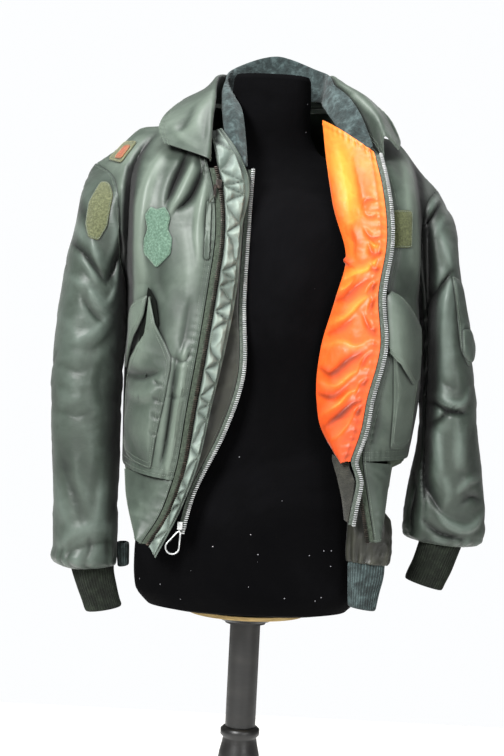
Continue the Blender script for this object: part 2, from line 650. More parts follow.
def armhole_loop(wearer_side, around):
    """The armhole's points: up the front from the underarm to the shoulder, and down the back."""
    share = 1 - np.abs(1 - 2 * around)
    up = UNDERARM + (1 - UNDERARM) * share
    front = side_rails(ARMHOLES_FRONT, up)[wearer_side]
    behind = side_rails(ARMHOLES_BACK, up)[wearer_side]
    loop = np.where(around[:, None] <= 0.5, front, behind)
    away = -1 if wearer_side == 0 else 1
    low = np.clip(1 - share * 1.6, 0, 1)
    clear = SEAM * 2 + 0.0040 * low + 0.0006 * np.sin(math.pi * share) ** 0.7
    return loop + np.stack([away * clear, 0 * low, -0.0010 * low], axis=-1)


def sleeve_ring(row, wearer_side, around):
    x, y, z, half_width, half_depth, tilt = row
    inward = 1 if wearer_side == 0 else -1
    lean = math.radians(tilt)
    turn = 2 * math.pi * around
    across = half_width * np.cos(turn)
    return np.stack(
        [
            x + inward * math.cos(lean) * across,
            y - half_depth * np.sin(turn),
            z - (math.sin(lean) * across) * (1 if tilt > 20 else inward * np.sign(inward)),
        ],
        axis=-1,
    )


def sleeve(table, wearer_side, up, around):
    """A sleeve's grid: the armhole's loop, then tilted oval sections down to the gathered hem."""
    keys = [0.0] + [row[0] for row in table]
    rings = [armhole_loop(wearer_side, around)]
    rings += [sleeve_ring(row[1:], wearer_side, around) for row in table]
    grid = drawn_in(spline(keys, np.stack(rings), up), SLEEVE_HEADS, 0.20, 0.30)
    grid = drawn_in(grid, INNER_SIDES, 0.245, 0.21)
    return grid if wearer_side == 0 else grid[:, ::-1]


def tube(table, up, columns):
    """Oval sections with a tilt, from the top of a cuff to its edge: share, x, y, z, half width, depth."""
    rows = np.asarray(table)
    read = spline(rows[:, 0], rows[:, 1:], up)
    turn = np.linspace(0, 2 * math.pi, columns, endpoint=False)[None, :]
    x, y, z, half_width, half_depth, tilt = (read[:, k, None] for k in range(6))
    lean = np.radians(tilt)
    grid = np.stack(
        [
            x + half_width * np.cos(lean) * np.cos(turn),
            y - half_depth * np.sin(turn) + 0 * x,
            z + half_width * np.sin(lean) * np.cos(turn),
        ],
        axis=-1,
    )
    return grid


# share, centre (x, y, z), half width, half depth, tilt in degrees
RIGHT_CUFF = (
    (0.0, -0.2310, -0.0150, 0.6170, 0.0281, 0.0281, 6.0),
    (0.2, -0.2280, -0.0155, 0.6040, 0.0270, 0.0280, 7.0),
    (1.0, -0.2105, -0.0180, 0.5540, 0.0235, 0.0270, 10.0),
)
LEFT_CUFF = (
    (0.0, 0.2835, -0.0120, 0.6765, 0.0281, 0.0281, -6.0),
    (0.2, 0.2795, -0.0125, 0.6640, 0.0272, 0.0280, -8.0),
    (1.0, 0.2605, -0.0150, 0.6130, 0.0255, 0.0270, -15.0),
)
# drop below the hem, inset from the hem's line: the shell blouses over the tighter knit
WAISTBAND = (
    (-0.006, 0.0040),
    (0.004, 0.0070),
    (0.014, 0.0260),
    (0.056, 0.0330),
)
# how much of that inset each place has, along the band from the right tab to the left tab
WAIST_DRAW = ((0.0, 0.45), (0.2, 0.50), (0.5, 0.36), (0.75, 0.70), (0.86, 1.0), (1.0, 0.60))


def hem_path():
    """The hem's line from the right tab round the back to the left tab, with its outward direction."""
    low = np.array((0.0, 0.01))
    right = front_panel(RIGHT_FRONT, 0, (), np.linspace(0.36, 0.02, 6), low)[0]
    behind = back_panel((), np.linspace(0.99, 0.01, 19), low)[0]
    left = front_panel(LEFT_FRONT, 1, (), np.linspace(0.55, 0.02, 6), low)[0]
    path = np.concatenate([right, behind, left])
    ahead = np.gradient(path, axis=0)
    outward = np.stack([-ahead[:, 1], ahead[:, 0], 0 * ahead[:, 0]], axis=-1)
    return path, outward / np.linalg.norm(outward, axis=1, keepdims=True)


# share round the neck, seam (x, y, z), roll line (x, y, z), outer edge (x, y, z), from the right
# front
SHELL_COLLAR = (
    (0.00, -0.083, -0.134, 1.205, -0.086, -0.146, 1.208, -0.151, -0.106, 1.232),
    (0.10, -0.092, -0.112, 1.232, -0.084, -0.120, 1.258, -0.160, -0.086, 1.256),
    (0.22, -0.101, -0.058, 1.276, -0.084, -0.052, 1.322, -0.149, -0.030, 1.292),
    (0.34, -0.0984, 0.012, 1.3135, -0.078, 0.026, 1.356, -0.118, 0.052, 1.322),
    (0.42, -0.060, 0.071, 1.323, -0.052, 0.078, 1.366, -0.075, 0.118, 1.318),
    (0.50, 0.005, 0.091, 1.324, 0.005, 0.096, 1.370, 0.005, 0.148, 1.306),
    (0.58, 0.070, 0.073, 1.324, 0.064, 0.080, 1.370, 0.092, 0.116, 1.318),
    (0.66, 0.108, 0.014, 1.316, 0.096, 0.028, 1.362, 0.138, 0.050, 1.330),
    (0.78, 0.127, -0.056, 1.279, 0.124, -0.036, 1.330, 0.172, -0.018, 1.306),
    (0.90, 0.150, -0.094, 1.246, 0.152, -0.078, 1.290, 0.190, -0.052, 1.262),
    (1.00, 0.163, -0.113, 1.224, 0.161, -0.119, 1.252, 0.182, -0.112, 1.238),
)


def banded(table, across, up, keys):
    """A band whose rows pass through three points, read across with a soft roll between them."""
    rows = np.asarray(table)
    read = spline(rows[:, 0], rows[:, 1:], up)
    stops = np.stack([read[:, 0:3], read[:, 3:6], read[:, 6:9]])
    return spline(keys, stops, across)

# share round the neck, seam (x, y, z), middle (x, y, z), free edge (x, y, z), from the right front
KNIT_COLLAR = (
    (0.00, -0.031, -0.1147, 1.203, -0.038, -0.1187, 1.205, -0.045, -0.1197, 1.207),
    (0.10, -0.035, -0.094, 1.240, -0.048, -0.102, 1.243, -0.061, -0.102, 1.240),
    (0.22, -0.043, -0.070, 1.290, -0.058, -0.074, 1.290, -0.070, -0.066, 1.286),
    (0.34, -0.0592, -0.020, 1.3195, -0.066, -0.016, 1.334, -0.071, -0.008, 1.342),
    (0.42, -0.062, 0.036, 1.330, -0.062, 0.042, 1.352, -0.060, 0.046, 1.374),
    (0.50, 0.004, 0.074, 1.334, 0.004, 0.078, 1.368, 0.004, 0.074, 1.402),
    (0.58, 0.070, 0.040, 1.328, 0.070, 0.046, 1.352, 0.069, 0.048, 1.378),
    (0.68, 0.078, -0.010, 1.312, 0.084, -0.004, 1.336, 0.090, 0.006, 1.360),
    (0.80, 0.092, -0.052, 1.284, 0.104, -0.046, 1.310, 0.114, -0.034, 1.330),
    (0.92, 0.117, -0.092, 1.250, 0.126, -0.088, 1.272, 0.133, -0.079, 1.289),
    (1.00, 0.142, -0.1151, 1.2352, 0.145, -0.1149, 1.240, 0.146, -0.1138, 1.243),
)
# share of height, rolled inner edge (x, y, z), silver zip edge (x, y, z)
ORANGE_FRONT = (
    (-0.18, 0.130, -0.140, 0.708, 0.1345, -0.1500, 0.708),
    (-0.12, 0.130, -0.140, 0.738, 0.1385, -0.1520, 0.738),
    (-0.07, 0.130, -0.138, 0.766, 0.1425, -0.1530, 0.766),
    (0.00, 0.128, -0.136, 0.797, 0.1340, -0.1525, 0.796),
    (0.04, 0.112, -0.130, 0.808, 0.1370, -0.1540, 0.808),
    (0.10, 0.094, -0.126, 0.835, 0.145, -0.158, 0.836),
    (0.20, 0.084, -0.120, 0.878, 0.151, -0.162, 0.880),
    (0.36, 0.086, -0.118, 0.950, 0.166, -0.164, 0.955),
    (0.52, 0.103, -0.120, 1.022, 0.160, -0.162, 1.030),
    (0.66, 0.115, -0.122, 1.080, 0.168, -0.160, 1.100),
    (0.84, 0.092, -0.106, 1.164, 0.160, -0.150, 1.176),
    (0.94, 0.080, -0.074, 1.240, 0.152, -0.134, 1.212),
    (1.00, 0.075, -0.050, 1.286, 0.147, -0.122, 1.232),
)
# share of height, edge under the wind flap (x, y, z), silver zip edge (x, y, z)
LINER_RIGHT = (
    (-0.12, -0.112, -0.139, 0.684, -0.1026, -0.138, 0.684),
    (0.00, -0.108, -0.140, 0.735, -0.091, -0.138, 0.735),
    (0.20, -0.076, -0.138, 0.830, -0.050, -0.136, 0.830),
    (0.36, -0.062, -0.134, 0.901, -0.030, -0.132, 0.901),
    (0.60, -0.054, -0.126, 1.014, -0.033, -0.124, 1.014),
    (0.80, -0.050, -0.118, 1.110, -0.032, -0.116, 1.110),
    (1.00, -0.048, -0.108, 1.200, -0.030, -0.108, 1.200),
)
SILVER_WIDTH = 0.009
# share from its top, inner edge (x, y, z), edge at the silver zip (x, y, z)
LINER_WAIST = (
    (0.0, 0.130, -0.138, 0.714, 0.1336, -0.1500, 0.712),
    (0.3, 0.125, -0.136, 0.743, 0.1380, -0.1520, 0.740),
    (0.6, 0.117, -0.133, 0.773, 0.1400, -0.1530, 0.768),
    (0.9, 0.110, -0.121, 0.797, 0.1330, -0.1438, 0.788),
    (1.0, 0.110, -0.119, 0.8030, 0.1328, -0.1418, 0.7930),
)
# share, centre (x, y, z), half width, half depth, tilt in degrees
LEFT_LINER_SLEEVE = (
    (0.00, 0.1605, -0.0960, 0.7800, 0.0138, 0.0110, 0.0),
    (0.25, 0.1605, -0.0970, 0.7420, 0.0138, 0.0130, 0.0),
    (0.50, 0.1690, -0.0980, 0.7120, 0.0290, 0.0150, -4.0),
    (0.75, 0.1695, -0.0985, 0.6800, 0.0310, 0.0160, -6.0),
    (0.92, 0.1690, -0.0985, 0.6560, 0.0300, 0.0165, -6.0),
    (1.00, 0.1680, -0.0985, 0.6500, 0.0275, 0.0175, -4.0),
)
LEFT_LINER_CUFF = (
    (0.00, 0.1680, -0.0985, 0.6530, 0.0226, 0.0127, -4.0),
    (0.20, 0.1678, -0.0985, 0.6400, 0.0225, 0.0140, -4.0),
    (0.60, 0.1650, -0.0985, 0.6100, 0.0190, 0.0140, -5.0),
    (1.00, 0.1640, -0.0985, 0.5850, 0.0165, 0.0135, -8.0),
)
RIGHT_LINER_CUFF = (
    (0.00, -0.1900, 0.0100, 0.6500, 0.0060, 0.0140, 0.0),
    (1.00, -0.1870, 0.0080, 0.6150, 0.0050, 0.0120, 12.0),
)
RIGHT_POCKET = (
    (-0.152, 1.013), (-0.142, 0.972), (-0.121, 0.926), (-0.122, 0.910), (-0.127, 0.876),
    (-0.138, 0.812), (-0.143, 0.770), (-0.166, 0.776), (-0.184, 0.787), (-0.190, 0.800),
    (-0.191, 0.870), (-0.190, 0.905), (-0.182, 0.913), (-0.163, 0.945), (-0.148, 0.975),
)
RIGHT_FLAP = (
    (-0.154, 1.0135), (-0.176, 1.0025), (-0.186, 0.985), (-0.194, 0.930), (-0.1945, 0.908),
    (-0.1895, 0.914), (-0.1715, 0.953), (-0.1585, 0.984),
)
LEFT_POCKET = (
    (0.176, 1.030), (0.184, 0.960), (0.190, 0.880), (0.190, 0.815), (0.206, 0.814),
    (0.221, 0.822), (0.227, 0.900), (0.229, 0.990),
)
LEFT_FLAP = (
    (0.1745, 1.036), (0.185, 1.030), (0.214, 1.006), (0.2285, 0.990), (0.2300, 0.935),
    (0.2285, 0.914), (0.218, 0.906), (0.196, 0.930), (0.1805, 0.955),
)
CHEST_PATCH = (
    (-0.163, 1.139), (-0.153, 1.134), (-0.142, 1.139), (-0.133, 1.124), (-0.136, 1.106),
    (-0.129, 1.094), (-0.130, 1.072), (-0.140, 1.062), (-0.150, 1.052), (-0.160, 1.064),
    (-0.170, 1.073), (-0.171, 1.093), (-0.166, 1.106), (-0.171, 1.126),
)
NAME_TAPE = ((0.1745, 1.148), (0.2035, 1.150), (0.2050, 1.098), (0.1765, 1.096))
ARM_PATCH = (
    (-0.2475, 1.178), (-0.2350, 1.176), (-0.2270, 1.158), (-0.2330, 1.112), (-0.2450, 1.090),
    (-0.2590, 1.094), (-0.2650, 1.112), (-0.2620, 1.146),
)
SLEEVE_POCKET = (
    (0.2790, 1.066), (0.2960, 1.060), (0.3120, 1.000), (0.3165, 0.955), (0.3060, 0.936),
    (0.2930, 0.960), (0.2880, 1.010),
)
SHOULDER_BASE = ((-0.236, 1.216), (-0.214, 1.246), (-0.193, 1.242), (-0.213, 1.206))
SHOULDER_PATCH = ((-0.2265, 1.217), (-0.2130, 1.238), (-0.2015, 1.236), (-0.2140, 1.213))
SLEEVE_POCKET_FLAP = (
    (0.2960, 0.990), (0.3100, 0.992), (0.3200, 0.972), (0.3205, 0.950), (0.3085, 0.942),
    (0.2960, 0.955),
)
PULL_STRAP = ((-0.0850, 1.1480), (-0.0765, 1.1480), (-0.0760, 1.0650), (-0.0845, 1.0650))
# height, half width, front depth, back depth, centre y: a ring for each row
FORM_RINGS = (
    (0.562, 0.118, 0.075, 0.070, -0.006),
    (0.568, 0.148, 0.098, 0.090, -0.006),
    (0.590, 0.166, 0.112, 0.102, -0.006),
    (0.640, 0.170, 0.116, 0.108, -0.006),
    (0.720, 0.163, 0.114, 0.104, -0.004),
    (0.820, 0.152, 0.110, 0.092, -0.002),
    (0.920, 0.158, 0.114, 0.092, 0.000),
    (1.020, 0.170, 0.121, 0.100, 0.000),
    (1.100, 0.180, 0.121, 0.108, 0.004),
    (1.150, 0.180, 0.108, 0.102, 0.006),
    (1.190, 0.158, 0.080, 0.082, 0.010),
    (1.220, 0.116, 0.060, 0.062, 0.012),
    (1.245, 0.074, 0.053, 0.053, 0.010),
    (1.275, 0.060, 0.050, 0.050, 0.004),
    (1.348, 0.057, 0.050, 0.050, -0.006),
    (1.354, 0.054, 0.047, 0.047, -0.006),
)
FORM_SQUARENESS = 2.35  # exponent of the rings' superellipse
NECK_SLANT = 0.10  # rise of the neck's cap towards the back


def superellipse(half_width, front, back, angle, power):
    """X and Y round a ring that is deeper or shallower in front than behind."""
    c, s = np.cos(angle), np.sin(angle)
    x = half_width * np.sign(c) * np.abs(c) ** (2 / power)
    depth = np.where(s < 0, front, back)
    return x, depth * np.sign(s) * np.abs(s) ** (2 / power)

# creases as the camera sees them, in metres on the plane y = -0.10: path, half width and height in
# mm
FRONT_CREASES = (
    (((-0.200, 1.195), (-0.197, 1.107), (-0.191, 1.007), (-0.186, 0.893), (-0.181, 0.768)), 8, -26),
    (((0.232, 1.140), (0.240, 1.043), (0.243, 0.943), (0.244, 0.844), (0.246, 0.715)), 7, -24),
    (((-0.185, 1.150), (-0.179, 1.065), (-0.174, 0.965)), 8, 6),
    (
        ((-0.163, 1.242), (-0.180, 1.223), (-0.192, 1.197), (-0.196, 1.168), (-0.198, 1.135),
         (-0.198, 1.092), (-0.197, 1.042), (-0.193, 0.978)), 8, -24,
    ),
    (((-0.193, 1.007), (-0.193, 0.936), (-0.190, 0.864), (-0.188, 0.785)), 6, -12),
    (((-0.136, 1.235), (-0.155, 1.211), (-0.168, 1.182), (-0.175, 1.148), (-0.176, 1.093)), 9, 9),
    (((-0.115, 1.225), (-0.125, 1.199), (-0.135, 1.172), (-0.143, 1.146)), 6.5, -14),
    (((-0.103, 1.220), (-0.113, 1.188), (-0.125, 1.159), (-0.140, 1.129)), 6, 9),
    (((-0.092, 1.206), (-0.101, 1.177), (-0.112, 1.155), (-0.130, 1.137)), 6.5, -13),
    (((-0.087, 1.195), (-0.092, 1.155), (-0.096, 1.112), (-0.091, 1.061)), 8, 7),
    (((-0.080, 1.170), (-0.086, 1.135), (-0.085, 1.101)), 5, -4),
    (((-0.116, 1.116), (-0.105, 1.066), (-0.108, 1.006)), 20, 4),
    (((-0.165, 1.131), (-0.168, 1.094), (-0.164, 1.048)), 12, -3),
    (((-0.140, 1.081), (-0.147, 1.045), (-0.136, 1.010)), 10, -3),
    (((-0.102, 1.012), (-0.106, 0.969), (-0.111, 0.937)), 9, -5),
    (((-0.105, 0.949), (-0.109, 0.880), (-0.116, 0.811), (-0.124, 0.742)), 6, 9),
    (((-0.117, 0.937), (-0.121, 0.868), (-0.126, 0.811), (-0.133, 0.767)), 5, -7),
    (((-0.090, 0.941), (-0.096, 0.881), (-0.104, 0.823), (-0.115, 0.763)), 6, -8),
    (((-0.127, 0.873), (-0.112, 0.871), (-0.099, 0.880)), 4, -4),
    (((-0.127, 0.930), (-0.106, 0.923), (-0.096, 0.941)), 4, -5),
    (((-0.188, 0.904), (-0.162, 0.900), (-0.134, 0.907)), 8, -7),
    (((-0.187, 0.879), (-0.158, 0.872), (-0.130, 0.885)), 12, 5),
    (((-0.171, 0.837), (-0.172, 0.808), (-0.165, 0.783)), 9, -4),
    (((-0.132, 0.753), (-0.118, 0.762), (-0.101, 0.769)), 5, -3),
    (((-0.205, 1.103), (-0.207, 1.080), (-0.216, 1.051), (-0.224, 1.028)), 6, -14),
    (((-0.280, 1.091), (-0.259, 1.072), (-0.241, 1.050), (-0.224, 1.028)), 7, -10),
    (((-0.198, 1.098), (-0.202, 1.061), (-0.208, 1.023), (-0.221, 0.997)), 7, 8),
    (((-0.265, 1.072), (-0.247, 1.050), (-0.234, 1.028)), 7, 7),
    (((-0.246, 1.093), (-0.239, 1.067), (-0.230, 1.045)), 7, 5),
    (((-0.248, 1.021), (-0.233, 1.002), (-0.215, 0.986)), 6, 8),
    (((-0.256, 1.009), (-0.241, 0.987), (-0.223, 0.971)), 6, -6),
    (((-0.275, 1.037), (-0.257, 1.026), (-0.240, 1.027)), 9, 4),
    (((-0.212, 0.989), (-0.229, 0.968), (-0.248, 0.953), (-0.265, 0.946)), 7, 3.3),
    (((-0.205, 0.975), (-0.222, 0.948), (-0.241, 0.930)), 8, -3.3),
    (((-0.283, 0.977), (-0.268, 0.960), (-0.256, 0.938)), 10, 2.2),
    (((-0.283, 0.914), (-0.259, 0.901), (-0.237, 0.908)), 9, -2.75),
    (((-0.284, 0.874), (-0.266, 0.861), (-0.246, 0.864)), 9, 2.75),
    (((-0.277, 0.846), (-0.253, 0.838), (-0.231, 0.848)), 8, -2.2),
    (((-0.221, 0.926), (-0.227, 0.885), (-0.219, 0.843)), 10, -4),
    (((-0.247, 0.833), (-0.231, 0.791), (-0.234, 0.740)), 14, 2.2),
    (((-0.277, 0.803), (-0.267, 0.761), (-0.247, 0.710), (-0.234, 0.677)), 8, -3.3),
    (((-0.259, 0.787), (-0.245, 0.739), (-0.223, 0.692)), 9, 2.75),
    (((-0.280, 0.751), (-0.270, 0.709), (-0.254, 0.673)), 8, 2.75),
    (((-0.191, 0.765), (-0.197, 0.721), (-0.203, 0.687)), 8, -9),
    (((-0.215, 0.763), (-0.216, 0.720), (-0.220, 0.686)), 9, 4),
    (((-0.275, 0.646), (-0.253, 0.670), (-0.220, 0.682), (-0.191, 0.676)), 8, 4.4),
    (((-0.271, 0.629), (-0.241, 0.651), (-0.207, 0.660), (-0.187, 0.653)), 6, -3.85),
    (((-0.230, 0.668), (-0.227, 0.651), (-0.232, 0.634)), 5, -4),
    (((-0.205, 0.670), (-0.204, 0.653), (-0.200, 0.639)), 5, -4),
    (((-0.280, 1.139), (-0.260, 1.129), (-0.246, 1.096)), 9, -5),
    (((-0.279, 1.128), (-0.270, 1.109), (-0.257, 1.089)), 8, 5),
    (((-0.207, 1.163), (-0.211, 1.132), (-0.207, 1.106)), 6, -6),
    (
        ((0.190, 1.257), (0.203, 1.230), (0.212, 1.196), (0.221, 1.142),
         (0.228, 1.085), (0.235, 1.029), (0.240, 0.986)), 7, -20,
    ),
    (((0.238, 1.000), (0.245, 0.944), (0.248, 0.887), (0.246, 0.829)), 7, -16),
    (((0.195, 1.218), (0.202, 1.175), (0.208, 1.119), (0.215, 1.056)), 11, 5),
    (((0.181, 1.228), (0.196, 1.212), (0.204, 1.192)), 8, 4),
    (((0.182, 1.089), (0.198, 1.055), (0.214, 1.022)), 14, -3),
    (((0.174, 1.025), (0.175, 0.969), (0.173, 0.906)), 7, -6),
    (((0.198, 0.893), (0.205, 0.856), (0.204, 0.816)), 14, 4),
    (((0.172, 0.888), (0.170, 0.846), (0.167, 0.817)), 8, -5),
    (((0.217, 0.902), (0.224, 0.868), (0.224, 0.828)), 10, -4),
    (((0.246, 1.170), (0.237, 1.151), (0.225, 1.131)), 4.5, -11),
    (((0.247, 1.186), (0.238, 1.169), (0.225, 1.148)), 6, 7),
    (((0.256, 1.155), (0.248, 1.135), (0.238, 1.117)), 7, 5),
    (((0.267, 1.072), (0.256, 1.053), (0.245, 1.029), (0.238, 0.997)), 6.5, -14),
    (((0.248, 1.126), (0.261, 1.098), (0.268, 1.076)), 7, 7),
    (((0.270, 1.065), (0.262, 1.030), (0.257, 0.987), (0.256, 0.927)), 9, 8),
    (((0.281, 1.045), (0.281, 0.988), (0.290, 0.932)), 10, -4),
    (((0.248, 0.901), (0.264, 0.886), (0.281, 0.880), (0.295, 0.886), (0.302, 0.909)), 5, 9),
    (((0.237, 0.895), (0.257, 0.881), (0.276, 0.872), (0.299, 0.869)), 6, -14),
    (((0.276, 0.872), (0.263, 0.862), (0.248, 0.847)), 6, -12),
    (((0.259, 0.924), (0.268, 0.910), (0.283, 0.903)), 8, -5),
    (((0.251, 0.847), (0.258, 0.824), (0.267, 0.785)), 7, 8),
    (((0.285, 0.860), (0.292, 0.823), (0.291, 0.786)), 12, 5),
    (((0.308, 0.861), (0.307, 0.818), (0.315, 0.773)), 9, -5),
    (((0.247, 0.824), (0.246, 0.787), (0.253, 0.756), (0.269, 0.728)), 8, -12),
    (((0.290, 0.755), (0.306, 0.773), (0.323, 0.779)), 6, 7),
    (((0.297, 0.741), (0.313, 0.752), (0.328, 0.742)), 6, -6),
    (((0.260, 0.733), (0.278, 0.713), (0.301, 0.704), (0.318, 0.710), (0.330, 0.731)), 6, 10),
    (((0.246, 0.715), (0.270, 0.697), (0.305, 0.690)), 6, -9),
    (((0.227, 0.791), (0.234, 0.758), (0.229, 0.720), (0.234, 0.686)), 5, -10),
    (((0.217, 0.785), (0.223, 0.757), (0.217, 0.728), (0.217, 0.697)), 5, 7),
    (((0.238, 0.766), (0.245, 0.735), (0.244, 0.704)), 6, 5),
    (((0.272, 0.779), (0.279, 0.754), (0.274, 0.734)), 8, 4),
)
ORANGE_CREASES = (
    (((0.155, 1.167), (0.144, 1.167), (0.136, 1.159)), 3.2, -5),
    (((0.158, 1.147), (0.149, 1.144), (0.139, 1.148)), 3, -5),
    (((0.165, 1.116), (0.152, 1.114), (0.140, 1.127)), 4, -8),
    (((0.166, 1.094), (0.156, 1.090), (0.147, 1.105)), 4, -8),
    (((0.164, 1.105), (0.156, 1.103), (0.149, 1.110)), 3, 5),
    (((0.168, 1.072), (0.157, 1.069), (0.150, 1.080)), 4, -7),
    (((0.169, 1.052), (0.158, 1.046), (0.149, 1.033)), 4, -8),
    (((0.169, 1.030), (0.158, 1.023), (0.151, 1.004)), 4, -7),
    (((0.169, 0.987), (0.157, 0.983), (0.145, 1.005)), 4, -8),
    (((0.106, 1.076), (0.115, 1.080), (0.126, 1.072)), 6, -12),
    (((0.110, 1.051), (0.126, 1.063), (0.146, 1.070), (0.165, 1.088)), 6, 10),
    (((0.103, 1.022), (0.121, 1.027), (0.138, 1.045), (0.156, 1.057)), 7, -9),
    (((0.102, 1.036), (0.116, 1.043), (0.129, 1.055)), 5, 6),
    (((0.101, 0.990), (0.121, 1.003), (0.137, 1.021), (0.153, 1.033)), 7, 9),
    (((0.096, 0.973), (0.116, 0.983), (0.132, 0.998)), 6, -7),
    (((0.089, 0.956), (0.114, 0.963), (0.137, 0.958), (0.161, 0.971)), 8, 7),
    (((0.087, 0.927), (0.108, 0.917), (0.130, 0.938), (0.150, 0.950)), 7, -10),
    (((0.086, 0.907), (0.109, 0.900), (0.131, 0.918), (0.156, 0.930)), 7, 8),
    (((0.086, 0.890), (0.110, 0.884), (0.129, 0.901)), 6, -8),
    (((0.094, 0.859), (0.113, 0.874), (0.129, 0.891), (0.149, 0.899)), 6, 9),
    (((0.100, 0.842), (0.119, 0.857), (0.136, 0.875), (0.150, 0.882)), 6, -9),
    (((0.110, 0.823), (0.123, 0.837), (0.139, 0.858)), 6, 7),
    (((0.160, 0.951), (0.150, 0.939), (0.141, 0.918)), 3.5, -6),
    (((0.159, 0.914), (0.148, 0.904), (0.139, 0.884)), 3.5, -6),
    (((0.155, 0.879), (0.145, 0.867), (0.136, 0.850)), 3.5, -6),
    (((0.094, 1.250), (0.109, 1.185), (0.120, 1.128)), 14, 7),
    (((0.121, 1.223), (0.134, 1.180), (0.142, 1.147)), 9, -5),
    (((0.087, 1.207), (0.095, 1.164), (0.106, 1.128)), 7, -4),
    (((0.123, 1.128), (0.132, 1.109), (0.131, 1.086)), 7, -6),
)
COLLAR_CREASES = (
    (((-0.072, 1.318), (-0.088, 1.292), (-0.107, 1.268), (-0.123, 1.247)), 12, 5),
    (((-0.083, 1.304), (-0.093, 1.272), (-0.094, 1.240)), 8, -4),
    (((-0.108, 1.291), (-0.121, 1.264), (-0.134, 1.247)), 9, -4),
    (((-0.143, 1.260), (-0.122, 1.239), (-0.099, 1.229)), 8, 3),
    (((0.163, 1.293), (0.176, 1.271), (0.182, 1.254)), 6, -3),
    (((0.119, 1.314), (0.140, 1.298), (0.158, 1.276)), 9, 4),
)
POCKET_CREASES = (
    (((-0.188, 0.902), (-0.162, 0.899), (-0.136, 0.907)), 7, -6),
    (((-0.187, 0.879), (-0.158, 0.872), (-0.136, 0.884)), 10, 4),
    (((-0.175, 0.820), (-0.163, 0.792), (-0.148, 0.778)), 9, -3),
    (((-0.142, 0.895), (-0.139, 0.890), (-0.130, 0.887)), 3, -3),
    (((-0.142, 0.873), (-0.138, 0.867), (-0.129, 0.865)), 3, -3),
    (((-0.143, 0.850), (-0.139, 0.843), (-0.131, 0.842)), 3, -3),
    (((-0.144, 0.827), (-0.141, 0.820), (-0.133, 0.819)), 3, -3),
    (((-0.171, 0.951), (-0.156, 0.935), (-0.141, 0.930)), 10, 3),
)
RIGHT_ARM_CREASES = tuple(fold for fold in FRONT_CREASES if fold[0][0][0] < -0.20)
LEFT_ARM_CREASES = tuple(fold for fold in FRONT_CREASES if fold[0][0][0] > 0.23)
# the back, as seen from behind, so that x is turned over
BACK_CREASES = (
    (((-0.195, 1.190), (-0.180, 1.130), (-0.172, 1.060), (-0.178, 0.990)), 12, -9),
    (((-0.170, 1.200), (-0.150, 1.140), (-0.140, 1.070)), 11, 6),
    (((0.190, 1.190), (0.176, 1.130), (0.170, 1.060), (0.176, 1.000)), 12, -9),
    (((0.165, 1.205), (0.148, 1.140), (0.142, 1.080)), 11, 6),
    (((-0.120, 1.020), (-0.080, 0.990), (-0.030, 0.985), (0.020, 1.000)), 13, -4),
    (((-0.100, 0.940), (-0.060, 0.900), (-0.050, 0.850), (-0.055, 0.800)), 11, -7),
    (((-0.080, 0.930), (-0.035, 0.890), (-0.025, 0.830)), 10, 5),
    (((0.110, 0.960), (0.080, 0.910), (0.072, 0.850), (0.078, 0.800)), 11, -7),
    (((0.090, 0.950), (0.055, 0.900), (0.048, 0.840)), 10, 5),
    (((-0.160, 0.900), (-0.140, 0.860), (-0.145, 0.810)), 9, -5),
    (((0.165, 0.900), (0.150, 0.850), (0.155, 0.812)), 9, -5),
    (((0.000, 1.280), (0.004, 1.220), (-0.006, 1.150)), 16, 3),
    (((-0.060, 1.270), (-0.075, 1.220), (-0.110, 1.170)), 12, -4),
    (((0.060, 1.270), (0.078, 1.220), (0.112, 1.175)), 12, -4),
)
# the outer and inner sides of a sleeve, with y to the right of the view
SIDE_CREASES = (
    (((-0.060, 1.080), (-0.020, 1.050), (0.030, 1.060), (0.060, 1.040)), 9, -5),
    (((-0.050, 1.010), (-0.010, 0.985), (0.040, 0.990)), 9, 5),
    (((-0.060, 0.940), (-0.020, 0.905), (0.030, 0.912), (0.055, 0.930)), 8, -7),
    (((-0.055, 0.900), (-0.010, 0.880), (0.040, 0.888)), 8, 6),
    (((-0.050, 0.862), (0.000, 0.848), (0.045, 0.856)), 8, -6),
    (((-0.030, 0.830), (-0.010, 0.780), (0.010, 0.730)), 11, 5),
    (((0.020, 0.840), (0.030, 0.790), (0.020, 0.740)), 10, -5),
    (((-0.040, 0.720), (0.000, 0.705), (0.035, 0.712)), 8, -5),
    (((-0.040, 1.150), (-0.010, 1.110), (0.000, 1.070)), 14, 4),
)


# fine cloth
STEP = 0.0035  # distance between the points of a big piece of cloth
FINE = 0.0025  # and of a small one


def shares(length, step=STEP):
    """Even shares from 0 to 1, step metres apart over a length in metres."""
    return np.linspace(0, 1, int(round(length / step)) + 1)


def lengths(grid, axis):
    """Distance along a grid's rows or columns, from their first point."""
    step = np.linalg.norm(np.diff(grid, axis=axis), axis=2)
    pad = [(0, 0), (0, 0)]
    pad[axis] = (1, 0)
    return np.cumsum(np.pad(step, pad), axis=axis)


def from_edges(grid, closed=False):
    """Distance to each edge of a grid: first row, last row, first column, last column."""
    along, across = lengths(grid, 0), lengths(grid, 1)
    far = np.full(grid.shape[:2], 1.0)
    left, right = (far, far) if closed else (across, across[:, -1:] - across)
    return along, along[-1:] - along, left, right


def smooth(value, low, high):
    """0 below low, 1 above high, and an eased rise between."""
    u = np.clip((value - low) / (high - low), 0, 1)
    return u * u * (3 - 2 * u)


def wandering(points, size, seed, stretch=(1.0, 1.0, 1.0)):
    """Smooth noise from -1 to 1 at each point, about size metres from crest to crest."""
    flat = points.reshape(-1, 3) * (np.asarray(stretch) / size) + (
        seed * 7.31, seed * 3.17, seed * 1.93
    )
    found = np.array([noise.noise(place) for place in flat.tolist()])
    return found.reshape(points.shape[:-1])


